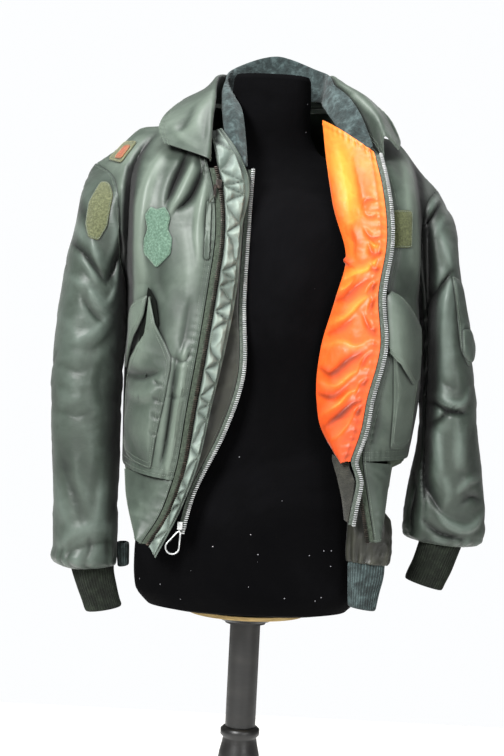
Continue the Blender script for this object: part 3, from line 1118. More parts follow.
def crumpled(points, size, seed, stretch=(1.0, 1.0, 1.0)):
    """Sharp little crests between soft hollows, bent by a slower noise, from about -0.6 to 0.4."""
    bend = np.stack(
        [wandering(points, size * 2.2, seed + k, stretch) for k in (11, 12, 13)], axis=-1
    )
    first = 1 - np.abs(wandering(points + bend * size * 0.7, size, seed, stretch)) * 2
    second = 1 - np.abs(wandering(points + bend * size * 0.5, size * 0.47, seed + 3, stretch)) * 2
    return first**2 * np.sign(first) * 0.5 + second * 0.2 - 0.3


NEAR = 2.10  # distance from the camera to the plane y = -0.10, on which the creases are drawn


def from_front(grid):
    """Where the camera sees each point on the plane y = -0.10, how far that moves and shades it, and the way out."""
    scale = NEAR / (grid[..., 1] - EYE[1])
    seen = np.stack(
        [EYE[0] + (grid[..., 0] - EYE[0]) * scale, EYE[2] + (grid[..., 2] - EYE[2]) * scale],
        axis=-1
    )
    return seen, smooth(-grid[..., 1], 0.005, 0.050), smooth(-grid[..., 1], -0.012, 0.012), (0, -1, 0)


def from_behind(grid):
    """The same from the back, unforeshortened, with x as seen from there."""
    seen = np.stack([-grid[..., 0], grid[..., 2]], axis=-1)
    return seen, smooth(grid[..., 1], 0.005, 0.050), smooth(grid[..., 1], -0.012, 0.012), (0, 1, 0)


def from_side(grid, side):
    """The same from the wearer's right (-1) or left (1), with y running to the right of the view."""
    seen = np.stack([grid[..., 1] * side, grid[..., 2]], axis=-1)
    facing = smooth(normals(grid)[..., 0] * side, 0.0, 0.5)
    return seen, facing, facing, (side, 0, 0)


def folded(view, folds, share=1.0):
    """Move cloth by creases drawn in a view, straight towards it, so that what is sewn stays joined."""
    seen, facing, shown, toward = view
    amount = creased(seen, folds)
    return (
        (amount * share * facing)[..., None] * np.array(toward, float), amount * shown * share**0.25
    )


def creased(seen, folds):
    """How far creases move cloth: each has a path, a half width and a height in millimetres.

    A crease is steeper on one side, ends softly, and pushes up a low swell beside it.
    """
    total = np.zeros(seen.shape[:-1])
    for path, width, height in folds:
        path = np.asarray(path, float)
        reach = width * 0.001 * 4.5
        box_low, box_high = path.min(axis=0) - reach, path.max(axis=0) + reach
        inside = ((seen > box_low) & (seen < box_high)).all(axis=-1)
        if not inside.any():
            continue
        points = seen[inside]
        line = spline(np.arange(len(path)), path, np.linspace(0, len(path) - 1, 8 * len(path)))
        start, step = line[:-1], np.diff(line, axis=0)
        share = np.einsum("pk,sk->ps", points, step) - (start * step).sum(axis=1)
        share = np.clip(share / (step**2).sum(axis=1), 0, 1)
        offset = points[:, None] - start - step * share[..., None]
        gap = np.linalg.norm(offset, axis=2)
        nearest = gap.argmin(axis=1)
        row = np.arange(len(points))
        along = (nearest + share[row, nearest]) / len(step)
        side = np.sign(
            step[nearest, 0] * offset[row, nearest, 1] - step[nearest, 1] * offset[row, nearest, 0]
        )
        spread = gap[row, nearest] / (
            width * 0.001 * (0.45 + 0.55 * np.sin(math.pi * along) ** 0.5)
        )
        spread = spread * np.where(side > 0, 0.80, 1.25)
        profile = np.exp(-(spread**1.6)) - 0.30 * np.exp(-((spread / 2.3) ** 2))
        end = np.sin(math.pi * np.clip(along, 0.02, 0.98)) ** 0.6
        total[inside] += height * 0.001 * profile * end
    return total


def mirrored(folds, rise):
    """Creases drawn from the front, turned over and moved up, for the side that isn't seen."""
    return tuple(([(-x * 1.05, z + rise) for x, z in path], w, h * 0.8) for path, w, h in folds)


def wall(name, inner, outer, look, closed=False, fold=None):
    """A solid wall between two skins of one grid, with a UV map in metres and the fold's depth."""
    rows, columns = inner.shape[:2]
    size = rows * columns
    index = np.arange(size).reshape(rows, columns)
    u, v = lengths(outer, 1), lengths(outer, 0)
    if closed:
        index = np.concatenate([index, index[:, :1]], axis=1)
        last = np.linalg.norm(outer[:, :1] - outer[:, -1:], axis=2)
        u = np.concatenate([u, u[:, -1:] + last], axis=1)
        v = np.concatenate([v, v[:, :1]], axis=1)
    flat = np.stack([u, v], axis=-1)
    corners = [np.s_[:-1, :-1], np.s_[:-1, 1:], np.s_[1:, 1:], np.s_[1:, :-1]]
    skin = np.stack([index[c] for c in corners], axis=-1).reshape(-1, 4)
    places = np.stack([flat[c] for c in corners], axis=-2).reshape(-1, 4, 2)
    faces = [skin + size, skin[:, ::-1]]
    uvs = [places, places[:, ::-1]]
    borders = [(index[0], flat[0]), (index[-1][::-1], flat[-1][::-1])]
    if not closed:
        borders += [(index[:, -1], flat[:, -1]), (index[::-1, 0], flat[::-1, 0])]
    for border, place in borders:
        a, b = border[:-1], border[1:]
        faces.append(np.stack([a, b, b + size, a + size], axis=-1))
        uvs.append(np.stack([place[:-1], place[1:], place[1:], place[:-1]], axis=1))
    faces, uvs = np.concatenate(faces), np.concatenate(uvs)
    mesh = bpy.data.meshes.new(name)
    mesh.from_pydata(
        np.concatenate([inner.reshape(-1, 3), outer.reshape(-1, 3)]).tolist(), [], faces.tolist()
    )
    mesh.uv_layers.new(name="metres").data.foreach_set("uv", uvs.astype(np.float32).ravel())
    if fold is not None:
        depth = np.clip(np.tile(np.broadcast_to(fold, inner.shape[:2]).ravel(), 2) / 0.009, -1, 1)
        mesh.attributes.new("fold", "FLOAT", "POINT").data.foreach_set(
            "value", depth.astype(np.float32)
        )
    return placed(name, mesh, look)


def placed(name, mesh, look):
    """An object at the origin for a finished mesh, riding on the jacket's body."""
    made = bpy.data.objects.new(name, mesh)
    bpy.context.scene.collection.objects.link(made)
    mesh.materials.clear()
    mesh.materials.append(look)
    mesh.shade_smooth()
    mesh.set_sharp_from_angle(angle=math.radians(60))
    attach(made, JACKET)
    return made


def cloth(name, grid, thickness, look, closed=False, raised=0.0, fold=None):
    """A wall on a grid, thinner at its edges, with raised added to its face."""
    edge = np.min(from_edges(grid, closed), axis=0)
    full = thickness * (1 - 0.35 * np.exp(-edge / 0.0008))
    outer = moved(grid, full + np.asarray(raised), closed)
    return wall(name, grid, outer, look, closed, fold), outer


def seamed(grid, edges, pitch=0.011, depth=0.00045):
    """Puckers and a drawn-in line beside stitched edges: edge number and the stitches' inset."""
    total = np.zeros(grid.shape[:2])
    distances = from_edges(grid)
    for edge, inset in edges:
        run = lengths(grid, 1 if edge < 2 else 0)
        wobble = np.sin(run / pitch * 2 * math.pi + 1.7 * np.sin(run / (pitch * 3.7)))
        gap = distances[edge] - inset
        total += depth * 0.8 * wobble * np.exp(-((gap / 0.007) ** 2)) * (
            0.6 + 0.4 * np.sin(run / 0.023)
        )
        total -= depth * np.exp(-((gap / 0.0022) ** 2))
    return total


def held(grid, width=0.012, edges=(0, 1, 2, 3)):
    """1 inside a piece, falling to 0 at the edges that are sewn to another."""
    distances = from_edges(grid)
    return np.min([smooth(distances[k], 0, width) for k in edges], axis=0)


# rows of stitches and teeth
def template(name, points, faces):
    """A small shape that a row repeats, lying along X, with its back at Z = 0."""
    mesh = bpy.data.meshes.new(name)
    mesh.from_pydata(points, [], faces)
    made = bpy.data.objects.new(name, mesh)
    bpy.context.scene.collection.objects.link(made)
    return made


def lozenge(name, length, width, height, tip):
    """A four-sided bead with blunt ends, tip times as wide there as in its middle."""
    points = []
    for x, size in ((-0.5, tip), (0.0, 1.0), (0.5, tip)):
        for y, z in ((-0.5, 0.0), (-0.3, 1.0), (0.3, 1.0), (0.5, 0.0)):
            points.append((x * length, y * width * size, z * height * size))
    faces = [(3, 2, 1, 0), (8, 9, 10, 11)]
    for ring in range(2):
        for k in range(4):
            a, b = ring * 4 + k, ring * 4 + (k + 1) % 4
            faces.append((a, b, b + 4, a + 4))
    return template(name, points, faces)


def row_tree():
    """Copies of a shape along lines: they point along "ahead" and stand up along "up"."""
    tree = bpy.data.node_groups.new("row_along_a_line", "GeometryNodeTree")
    sockets = (
        ("Lines", "NodeSocketGeometry", None),
        ("Spacing", "NodeSocketFloat", 0.003),
        ("Shape", "NodeSocketObject", None),
        ("Finish", "NodeSocketMaterial", None),
    )
    for name, kind, value in sockets:
        made = tree.interface.new_socket(name, in_out="INPUT", socket_type=kind)
        if value is not None:
            made.default_value = value
    tree.interface.new_socket("Row", in_out="OUTPUT", socket_type="NodeSocketGeometry")
    given = node(tree, "NodeGroupInput").outputs
    curve = node(tree, "GeometryNodeMeshToCurve", {"Mesh": given["Lines"]}).outputs[0]
    spaced = node(
        tree, "GeometryNodeResampleCurve", {"Curve": curve, "Length": given["Spacing"]},
        mode="LENGTH"
    )
    up = node(tree, "GeometryNodeInputNamedAttribute", {"Name": "up"}, data_type="FLOAT_VECTOR").outputs[0]
    ahead = node(tree, "GeometryNodeInputNamedAttribute", {"Name": "ahead"}, data_type="FLOAT_VECTOR").outputs[0]
    turn = node(
        tree,
        "FunctionNodeAxesToRotation",
        {"Primary Axis": up, "Secondary Axis": ahead},
        primary_axis="Z",
        secondary_axis="X",
    )
    shape = node(tree, "GeometryNodeObjectInfo", {"Object": given["Shape"]}).outputs["Geometry"]
    links = {"Points": spaced.outputs[0], "Instance": shape, "Rotation": turn.outputs[0]}
    copies = node(tree, "GeometryNodeInstanceOnPoints", links).outputs[0]
    real = node(tree, "GeometryNodeRealizeInstances", {"Geometry": copies}).outputs[0]
    done = node(tree, "GeometryNodeSetMaterial", {"Geometry": real, "Material": given["Finish"]}).outputs[0]
    node(tree, "NodeGroupOutput", {"Row": done})
    return tree


ROW = row_tree()


def row(name, lines, spacing, shape, look):
    """One piece made of copies of a shape along lines, each of points, directions ahead and up."""
    mesh = bpy.data.meshes.new(name)
    points = np.concatenate([line[0] for line in lines])
    edges, first = [], 0
    for line in lines:
        edges += [(first + k, first + k + 1) for k in range(len(line[0]) - 1)]
        first += len(line[0])
    mesh.from_pydata(points.tolist(), edges, [])
    for key, which in (("ahead", 1), ("up", 2)):
        values = np.concatenate([line[which] for line in lines]).astype(np.float32)
        mesh.attributes.new(key, "FLOAT_VECTOR", "POINT").data.foreach_set("vector", values.ravel())
    carrier = bpy.data.objects.new(name + "_lines", mesh)
    bpy.context.scene.collection.objects.link(carrier)
    live = carrier.modifiers.new("row", "NODES")
    live.node_group = ROW
    inputs = {item.name: item.identifier for item in ROW.interface.items_tree if item.in_out == "INPUT"}
    live[inputs["Spacing"]] = spacing
    live[inputs["Shape"]] = shape
    live[inputs["Finish"]] = look
    evaluated = carrier.evaluated_get(bpy.context.evaluated_depsgraph_get())
    made = bpy.data.meshes.new_from_object(evaluated)
    made.name = name
    bpy.data.objects.remove(carrier, do_unlink=True)
    return placed(name, made, look)


STITCH = lozenge("stitch", 0.0024, 0.0007, 0.0005, 0.5)
STITCH_PITCH = 0.0032
TOOTH_PITCH = 0.0030
TOOTH = lozenge("tooth", 0.0050, 0.0017, 0.0034, 0.8)


def unit(vectors):
    return vectors / np.maximum(np.linalg.norm(vectors, axis=-1, keepdims=True), 1e-12)


def line_on(outer, edge, inset):
    """A line on a cloth's face, inset metres from one edge, with its directions ahead and up."""
    face = normals(outer)
    if edge < 2:
        outer, face = outer.transpose(1, 0, 2), face.transpose(1, 0, 2)
    run = lengths(outer, 1)
    at = inset if edge % 2 == 0 else run[:, -1] - inset
    at = np.broadcast_to(at, len(outer))
    line, up = (
        np.stack([[np.interp(x, r, g[:, k]) for k in range(3)] for x, r, g in zip(at, run, grid)])
        for grid in (outer, face)
    )
    return line, unit(np.gradient(line, axis=0)), up


def sewn(outer, seams):
    """Stitch lines on a face: for each, the edge and its inset."""
    return [line_on(outer, *seam) for seam in seams]

sage_stitches = []  # stitch lines in the shell's own thread, gathered from each piece

right_grid = front_panel(RIGHT_FRONT, 0, (), shares(0.27), shares(0.60))
left_grid = front_panel(LEFT_FRONT, 1, (), shares(0.15), shares(0.57))
back_grid = back_panel(BACK_FOLDS, shares(0.62, 0.0043), shares(0.58, 0.0043))


def panel(name, grid, view, folds, seed, seams, free, depth=0.0008):
    """A body panel: creases as drawn, crumple as noise, and seams drawn in along its edges."""
    move, fold = folded(view, folds, held(grid, 0.014, edges=free))
    crumple = depth * crumpled(grid, 0.060, seed, (1.0, 1.0, 0.55))
    crumple += depth * 0.5 * crumpled(grid, 0.026, seed + 5, (1.0, 1.0, 0.6))
    crumple = crumple * held(grid) + seamed(grid, seams)
    return cloth(name, moved(grid, crumple) + move, CLOTH, SAGE, fold=fold + crumple)


RIGHT_SEAMS = ((0, 0.005), (0, 0.013), (3, 0.003), (3, 0.009), (1, 0.004))
LEFT_SEAMS = ((0, 0.005), (0, 0.013), (2, 0.003), (2, 0.009), (1, 0.004))
BACK_SEAMS = ((0, 0.005), (0, 0.013), (1, 0.004), (2, 0.004), (3, 0.004))
front_right, right_face = panel(
    "front_right", right_grid, from_front(right_grid), FRONT_CREASES, 1, RIGHT_SEAMS, (1, 3)
)
front_left, left_face = panel(
    "front_left", left_grid, from_front(left_grid), FRONT_CREASES, 2, LEFT_SEAMS, (1, 2)
)
back, back_face = panel(
    "back", back_grid, from_behind(back_grid), BACK_CREASES, 3, BACK_SEAMS, (1,)
)
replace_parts(front_right, "shell_front_right")
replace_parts(front_left, "shell_front_left")
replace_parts(back, "shell_back")
for face, seams in ((right_face, RIGHT_SEAMS), (left_face, LEFT_SEAMS), (back_face, BACK_SEAMS)):
    sage_stitches += sewn(face, seams)


# waist tabs: the knit's facing at the zip, below the hem
def waist_tab(name, tab, table, outer_first, seed):
    up = -0.20 + 0.198 * shares(0.115, FINE)
    rows = np.asarray(tab)
    outer = spline(rows[:, 0], rows[:, 1:4], up)
    edge = edge_rail(table, up)
    first, second = (outer, edge) if outer_first else (edge, outer)
    across = shares(0.036, FINE)[None, :, None]
    grid = first[:, None] * (1 - across) + second[:, None] * across
    swell = 0.006 * 4 * across[..., 0] * (1 - across[..., 0])
    move = 0.0022 * crumpled(grid, 0.024, seed) * held(grid, 0.006)
    made, face = cloth(name + "_cloth", moved(grid, swell + move), CLOTH, SAGE, fold=move)
    sage_stitches.extend(sewn(face, ((0, 0.003), (2, 0.0025), (3, 0.0025))))
    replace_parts(made, name)


waist_tab("waist_tab_right", RIGHT_TAB, RIGHT_FRONT, True, 21)
waist_tab("waist_tab_left", LEFT_TAB, LEFT_FRONT, False, 22)


# main zip: one half of it on each front, and the wind flap behind the right half
def zip_half(name, table, direction, width, gap, up, columns, tape):
    """A woven tape beside a rail with teeth along its free edge."""
    rail = spline(np.asarray(table)[:, 0], np.asarray(table)[:, columns], up)
    across = np.linspace(0, 1, 7)
    ahead = np.array(direction, float)
    grid = rail[:, None, :] + ahead * (gap + width * across[None, :, None])
    if direction[0] < 0:
        grid = grid[:, ::-1]
    ripple = 0.0004 * np.sin(lengths(grid, 0) / 0.006)
    tape_piece, face = cloth(name, moved(grid, ripple), TAPE, tape)
    line = face[:, -2] if direction[0] > 0 else face[:, 1]
    up_from = normals(face)[:, 3]
    return tape_piece, (line, np.broadcast_to(ahead, line.shape), up_from)


zip_up = np.linspace(-0.20, 0.86, 230)
dark_teeth = []
for side, table, direction in (("right", RIGHT_FRONT, (1, 0, 0)), ("left", LEFT_FRONT, (-1, 0, 0))):
    tape, line = zip_half(
        "zip_tape_" + side, table, direction, ZIP_WIDTH, ZIP_GAP, zip_up, slice(1, 4), DARK_TAPE
    )
    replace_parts(tape, "zip_" + side)
    dark_teeth.append(line)
row("main_zip_teeth", dark_teeth, TOOTH_PITCH, TOOTH, DARK_METAL)


def quilting(height):
    """The quilting's zigzag, as a share of the flap's width at each height, sewn by hand and uneven."""
    run = height / QUILT_PITCH + 0.28 * np.sin(height * 43) + 0.15 * np.sin(height * 101 + 1)
    return 0.80 * np.abs((run % 1.0) * 2 - 1)


def wind_flap(across, up):
    """The flap's base grid and the height of its quilted puffs, between stitched zigzag lines."""
    rows = np.asarray(WIND_FLAP)
    inner = spline(rows[:, 0], rows[:, 1:4], up)
    outer = edge_rail(RIGHT_FRONT, up) + (2 * ZIP_GAP + ZIP_WIDTH, 0, 0)
    grid = outer[:, None] * (1 - across[None, :, None]) + inner[:, None] * across[None, :, None]
    puff = np.minimum(np.abs(across[None, :] - quilting(grid[..., 2])) * 2.2, 1.0)
    puff = puff * (0.65 + 0.60 * np.abs(wandering(grid, 0.045, 33)))
    border = np.minimum(across[None, :] * 8, np.maximum(0.80 - across[None, :], 0) * 9)
    return grid, np.clip(np.minimum(puff, border), 0, 1)


flap_grid, flap_puffs = wind_flap(shares(0.05, 0.0016), -0.205 + 1.15 * shares(0.63, 0.0020))
flap_move = 0.0052 * crumpled(flap_grid, 0.024, 31) * flap_puffs**0.5
flap_raised = 0.0050 * flap_puffs**0.7 + flap_move
quilt, quilt_face = cloth(
    "wind_flap_quilted", flap_grid, PAD * 0.5, PALE_SAGE, raised=flap_raised,
    fold=flap_raised - 0.003
)
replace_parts(quilt, "wind_flap")


def zigzag_line(face):
    """The quilting's stitches: a zigzag from edge to edge, down the flap."""
    height = np.linspace(face[-1, 0, 2] - 0.01, face[0, 0, 2] + 0.01, 400)
    level = np.clip(quilting(height), 0.05, 0.79)
    rows_at = np.interp(height, face[:, len(face[0]) // 2, 2], np.arange(len(face)))
    columns_at = level * (face.shape[1] - 1)
    r, c = np.clip(rows_at.round().astype(int), 0, len(face) - 1), columns_at.round().astype(int)
    line = face[r, c]
    return line, unit(np.gradient(line, axis=0)), normals(face)[r, c]


sage_stitches.append(zigzag_line(quilt_face))
sage_stitches += sewn(quilt_face, ((2, 0.003), (3, 0.002), (3, 0.009)))


# sleeves
def ringed(face):
    """A tube's or a disc's face with its first column again at its end."""
    return np.concatenate([face, face[:, :1]], axis=1)


def sleeve_cloth(name, table, side, seed, behind, nodes):
    """A sleeve in one piece: creases from the front, others like them behind, and a gathered hem."""
    around = np.linspace(0, 1, 124, endpoint=False)
    up = shares(0.66, 0.0038)
    grid = sleeve(table, side, up, around)
    views = [
        (from_front(grid), FRONT_CREASES, 1.0), (from_behind(grid), BACK_CREASES + behind, 1.0)
    ]
    views += [(from_side(grid, way), SIDE_CREASES, 0.3) for way in (-1, 1)]
    pushes, folds = zip(*(folded(*view) for view in views))
    calm = smooth(up, 0.02, 0.10)[:, None] * (1 - smooth(up, 0.965, 0.995))[:, None]
    move = 0.0011 * crumpled(grid, 0.060, seed, (0.8, 0.8, 1.3))
    move += 0.0006 * crumpled(grid, 0.022, seed + 5, (0.8, 0.8, 1.3))
    move = move * calm
    turn = around[None, :] * 2 * math.pi
    gather = np.sin(13 * turn + 2.0 * np.sin(3 * turn) + 0.8 * np.sin(7 * turn + seed))
    near_hem = np.exp(-(((1 - up) / 0.045) ** 2))[:, None]
    move += 0.0016 * gather * near_hem * smooth(1 - up, 0.0, 0.02)[:, None]
    move += 0.0006 * np.sin(turn * 46 + np.sin(turn * 9)) * np.exp(-((up / 0.012) ** 2))[:, None]
    push, fold = sum(pushes), sum(folds)
    ends = (1 - smooth(up, 0.95, 1.0))[:, None]
    bent = moved(grid, move, True) + push * ends[..., None]
    made, face = cloth(name, bent, CLOTH, SAGE_SLEEVE, closed=True, fold=fold + move)
    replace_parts(made, *nodes)
    sage_stitches.extend(sewn(ringed(face), ((side, 0.004),)))
    return face


right_arm = sleeve_cloth(
    "sleeve_right", RIGHT_SLEEVE, 0, 41, mirrored(RIGHT_ARM_CREASES, 0.0), (
        "sleeve_right_front", "sleeve_right_back"
    )
)
left_arm = sleeve_cloth(
    "sleeve_left", LEFT_SLEEVE, 1, 45, mirrored(LEFT_ARM_CREASES, 0.0), (
        "sleeve_left_front", "sleeve_left_back"
    )
)


# knits
def ribbed(name, table, ribs, up, columns, look, fuzz_seed):
    """A ribbed tube with a folded, rounded lower edge."""
    turn = np.arange(columns) / columns * 2 * math.pi
    grid = tube(table, up, columns)
    level = np.minimum(up, 1 - up)[:, None]
    rib = (0.5 + 0.5 * np.cos(turn * ribs))[None, :] ** 1.5 * RIB * (
        0.35 + 0.65 * smooth(level, 0.0, 0.05)
    )
    move = 0.0014 * wandering(grid, 0.030, fuzz_seed) * smooth(level, 0.0, 0.15)
    return cloth(name, moved(grid, move, True), KNIT, look, closed=True, raised=rib, fold=rib * 6 - 0.003)[0]


cuff_rows = np.concatenate([np.linspace(0, 0.94, 22), (0.97, 0.99, 1.0)])
for name, table, ribs, columns, look, seed in (
    ("cuff_right", RIGHT_CUFF, 46, 230, OLIVE_KNIT, 51),
    ("cuff_left", LEFT_CUFF, 46, 230, OLIVE_KNIT, 52),
    ("liner_cuff_left", LEFT_LINER_CUFF, 34, 204, BLUE_KNIT, 53),
    ("liner_cuff_right", RIGHT_LINER_CUFF, 16, 96, BLUE_KNIT, 54),
):
    made = ribbed(name + "_knit", table, ribs, cuff_rows, columns, look, seed)
    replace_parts(made, name)


def waistband(places, fineness):
    """The knit band's grid: the hem's line, dropped and drawn in row by row."""
    path, outward = hem_path()
    stops = np.linspace(0, 1, len(path))
    draw = np.asarray(WAIST_DRAW)
    share = spline(draw[:, 0], draw[:, 1], places)[:, None]
    path, outward = spline(stops, path, places), unit(spline(stops, outward, places))
    first = WAISTBAND[0][1]
    table = np.asarray(WAISTBAND)
    fine = np.interp(
        np.linspace(0, 1, fineness), np.linspace(0, 1, len(table)), np.arange(len(table))
    )
    rows = []
    for at in fine:
        drop, inset = np.interp(at, np.arange(len(table)), table[:, 0]), np.interp(
            at, np.arange(len(table)), table[:, 1]
        )
        rows.append(path - outward * (first + (inset - first) * share) - np.array((0, 0, drop)))
    return np.stack(rows[::-1])[:, ::-1]


WAIST_RIBS = 270
band_places = np.linspace(0, 1, 1080)
band = waistband(band_places, 13)
band_rib = (0.5 + 0.5 * np.cos(band_places * WAIST_RIBS * 2 * math.pi))[None, :] ** 1.5 * RIB
band_move = 0.0016 * wandering(band, 0.035, 61) * held(band, 0.010, edges=(0, 1))
waist = cloth(
    "waistband_knit", moved(band, band_move), KNIT, SAGE_KNIT, raised=band_rib,
    fold=band_rib * 6 - 0.003
)
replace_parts(waist[0], "waistband")


# collars
def collar(name, grid, thickness, look, move, raised, seams, node_name):
    grid = drawn_in(moved(grid, move), COLLAR_FOLD, 0.078, 0.115)
    made, face = cloth(name, grid, thickness, look, raised=raised, fold=move)
    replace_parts(made, node_name)
    sage_stitches.extend(sewn(face, seams))


leaf = banded(SHELL_COLLAR, shares(0.12, 0.0030), shares(0.72, 0.0034), (0.0, 0.34, 1.0))
leaf_move = creased(from_front(leaf)[0], COLLAR_CREASES) + 0.0010 * crumpled(leaf, 0.045, 71)
leaf_move = leaf_move * held(leaf, 0.008) + seamed(
    leaf, ((0, 0.006), (1, 0.006), (3, 0.006)), depth=0.0005
)
leaf_seams = ((0, 0.003), (1, 0.003), (3, 0.003), (3, 0.010), (0, 0.010), (1, 0.010))
collar("collar_shell", leaf, CLOTH, SAGE, leaf_move, 0.0, leaf_seams, "collar")

knit_band = banded(KNIT_COLLAR, shares(0.075, 0.0026), shares(0.72, 0.0026), (0.0, 0.5, 1.0))
knit_move = 0.0022 * wandering(knit_band, 0.035, 72) + 0.0010 * crumpled(knit_band, 0.016, 73)
knit_rib = (0.5 + 0.5 * np.cos(lengths(knit_band, 0) / 0.0042 * 2 * math.pi)) * 0.0005
collar(
    "collar_knit", knit_band, KNIT, BLUE_KNIT, knit_move * held(knit_band, 0.006), knit_rib, (),
    "liner_collar"
)


# liner: the orange left front, the edge of the right front, and the silver zip on each
orange_grid = strip(ORANGE_FRONT, shares(0.095, 0.0019), shares(0.52, 0.0022), 0.012)[:, ::-1]
orange_move = 0.85 * creased(from_front(orange_grid)[0], ORANGE_CREASES)
orange_move += 0.0016 * crumpled(orange_grid, 0.040, 81, (1.0, 1.0, 1.5)) + 0.0007 * crumpled(
    orange_grid, 0.014, 82
)
orange_move = orange_move * held(orange_grid, 0.008)
orange_move += seamed(orange_grid, ((2, 0.009), (1, 0.008)), pitch=0.013, depth=0.0011)
orange, orange_face = cloth(
    "orange_front", moved(orange_grid, orange_move), SATIN, ORANGE, fold=orange_move
)
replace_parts(orange, "liner_front_left")
orange_lines = sewn(orange_face, ((2, 0.003), (2, 0.009), (1, 0.003), (1, 0.009)))

inner_grid = strip(LINER_RIGHT, shares(0.036, FINE), shares(0.48, FINE))
inner_move = 0.0012 * crumpled(inner_grid, 0.022, 83) * held(inner_grid, 0.006)
inner, inner_face = cloth(
    "liner_right_edge", moved(inner_grid, inner_move), SATIN, LINER, fold=inner_move
)
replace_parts(inner, "liner_front_right")
dark_lines = sewn(inner_face, ((3, 0.003),))

silver_teeth = []
for side, table, up in (
    ("right", LINER_RIGHT, np.linspace(-0.12, 1.0, 220)),
    ("left", ORANGE_FRONT, np.linspace(-0.18, 0.985, 230)),
):
    tape, line = zip_half(
        "liner_zip_tape_" + side, table, (1, 0, 0), SILVER_WIDTH, SEAM * 3, up, slice(4, 7), GREY_TAPE
    )
    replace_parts(tape, "liner_zip_" + side)
    silver_teeth.append(line)
row("liner_zip_teeth", silver_teeth, TOOTH_PITCH, TOOTH, SILVER_METAL)

waist_grid = strip(LINER_WAIST, shares(0.012, 0.0012), shares(0.09, 0.0016), 0.001)[:, ::-1]
waist_rib = (0.5 + 0.5 * np.cos(lengths(waist_grid, 1) / 0.003 * 2 * math.pi)) * 0.0007
liner_waist = cloth("liner_waist_knit", waist_grid, KNIT, TAUPE_KNIT, raised=waist_rib)[0]
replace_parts(liner_waist, "liner_waistband")

inner_sleeve = tube(LEFT_LINER_SLEEVE, shares(0.14, 0.0018), 96)
turn = np.arange(96)[None, :] / 96 * 2 * math.pi
level = shares(0.14, 0.0018)[:, None]
sleeve_move = 0.0022 * crumpled(inner_sleeve, 0.022, 84, (1.0, 1.0, 0.7)) * smooth(level, 0.0, 0.1)
sleeve_move += 0.0014 * np.sin(turn * 11 + 1.5 * np.sin(turn * 3)) * smooth(level, 0.55, 0.97)
liner_sleeve = cloth(
    "liner_sleeve_left_end", moved(inner_sleeve, sleeve_move, True), SATIN, LINER, closed=True, fold=sleeve_move
)
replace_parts(liner_sleeve[0], "liner_sleeve_left")


# pieces that lie on a panel
def tree_of(*faces):
    """Cloth faces to lie on, for rays cast along Y."""
    points, polygons, first = [], [], 0
    for face in faces:
        rows, columns = face.shape[:2]
        index = np.arange(rows * columns).reshape(rows, columns) + first
        quads = np.stack([index[:-1, :-1], index[:-1, 1:], index[1:, 1:], index[1:, :-1]], axis=-1)
        points += face.reshape(-1, 3).tolist()
        polygons += quads.reshape(-1, 4).tolist()
        first += rows * columns
    return BVHTree.FromPolygons(points, polygons)


def outline_points(outline, step):
    """An outline's points, step apart, its corners eased by a little."""
    points = np.asarray(outline, float)
    closed = np.concatenate([points, points[:1]])
    run = np.concatenate([[0], np.cumsum(np.linalg.norm(np.diff(closed, axis=0), axis=1))])
    at = np.arange(0, run[-1], step)
    line = np.stack([np.interp(at, run, closed[:, k]) for k in range(2)], axis=-1)
    for _ in range(2):
        line = 0.5 * line + 0.25 * (np.roll(line, 1, axis=0) + np.roll(line, -1, axis=0))
    return line


DRAPE_STEP = 0.0022


def sunk(outline):
    """Points on a sleeve, seen from the front, carried in with the sleeve's head."""
    x, z = np.moveaxis(np.asarray(outline, float), -1, 0)
    return drawn_in(np.stack([x, 0 * x, z], axis=-1), SLEEVE_HEADS, 0.20, 0.30)[..., [0, 2]]


def draped(
    name, tree, outline, centre, thickness, look, node_name, lift=LIFT, swell=0.0, move=None
):
    """A piece lying on cloth, inside an outline seen from the front: rings of points round its centre.

    move(x, z, inward) gives what it stands off at a place, inward metres from its edge.
    """
    rim = outline_points(outline, DRAPE_STEP)
    centre = np.asarray(centre)
    reach = np.linalg.norm(rim - centre, axis=1).max()
    rings = max(6, int(reach / DRAPE_STEP * 0.8))
    share = np.concatenate([np.linspace(0.02, 0.94, rings), (0.97, 0.99, 1.0)])
    flat = centre + (rim - centre)[None] * share[:, None, None]
    inward = (1 - share)[:, None] * np.linalg.norm(rim - centre, axis=1)[None]
    points = np.zeros(flat.shape[:2] + (3,))
    for i, j in np.ndindex(*flat.shape[:2]):
        x, z = flat[i, j]
        hit = tree.ray_cast(Vector((x, -1.0, z)), Vector((0, 1, 0)))[0]
        if hit is None:
            hit = tree.find_nearest(Vector((x, points[i - 1, j, 1] if i else -0.1, z)))[0]
        points[i, j] = hit
    under = smoothed(points)
    extra = 0 if move is None else move(flat[..., 0], flat[..., 1], inward)
    off = lift + swell * smooth(inward, 0.0, 0.012) + extra
    grid = under[::-1]
    face = normals(grid, True)
    facing = -np.sign(face[..., 1].mean())
    grid = grid if facing > 0 else grid[:, ::-1]
    off = off[::-1] if facing > 0 else off[::-1, ::-1]
    edge = inward[::-1]
    full = thickness * (1 - 0.45 * np.exp(-edge / 0.0009))
    inner, outer = moved(grid, off, True), moved(grid, off + full, True)
    made = wall(name, inner, outer, look, closed=True, fold=0.6 * (off - off.mean()))
    capped(made, inner.shape[1], len(grid))
    if node_name:
        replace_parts(made, node_name)
    return outer


def smoothed(points):
    """A ring grid with the base cloth's finest dents eased, as a stiffer layer over it has."""
    for _ in range(2):
        around = 0.5 * points + 0.25 * (np.roll(points, 1, axis=1) + np.roll(points, -1, axis=1))
        points = np.concatenate(
            [around[:1], (around[:-2] + 2 * around[1:-1] + around[2:]) / 4, around[-1:]]
        )
    return points


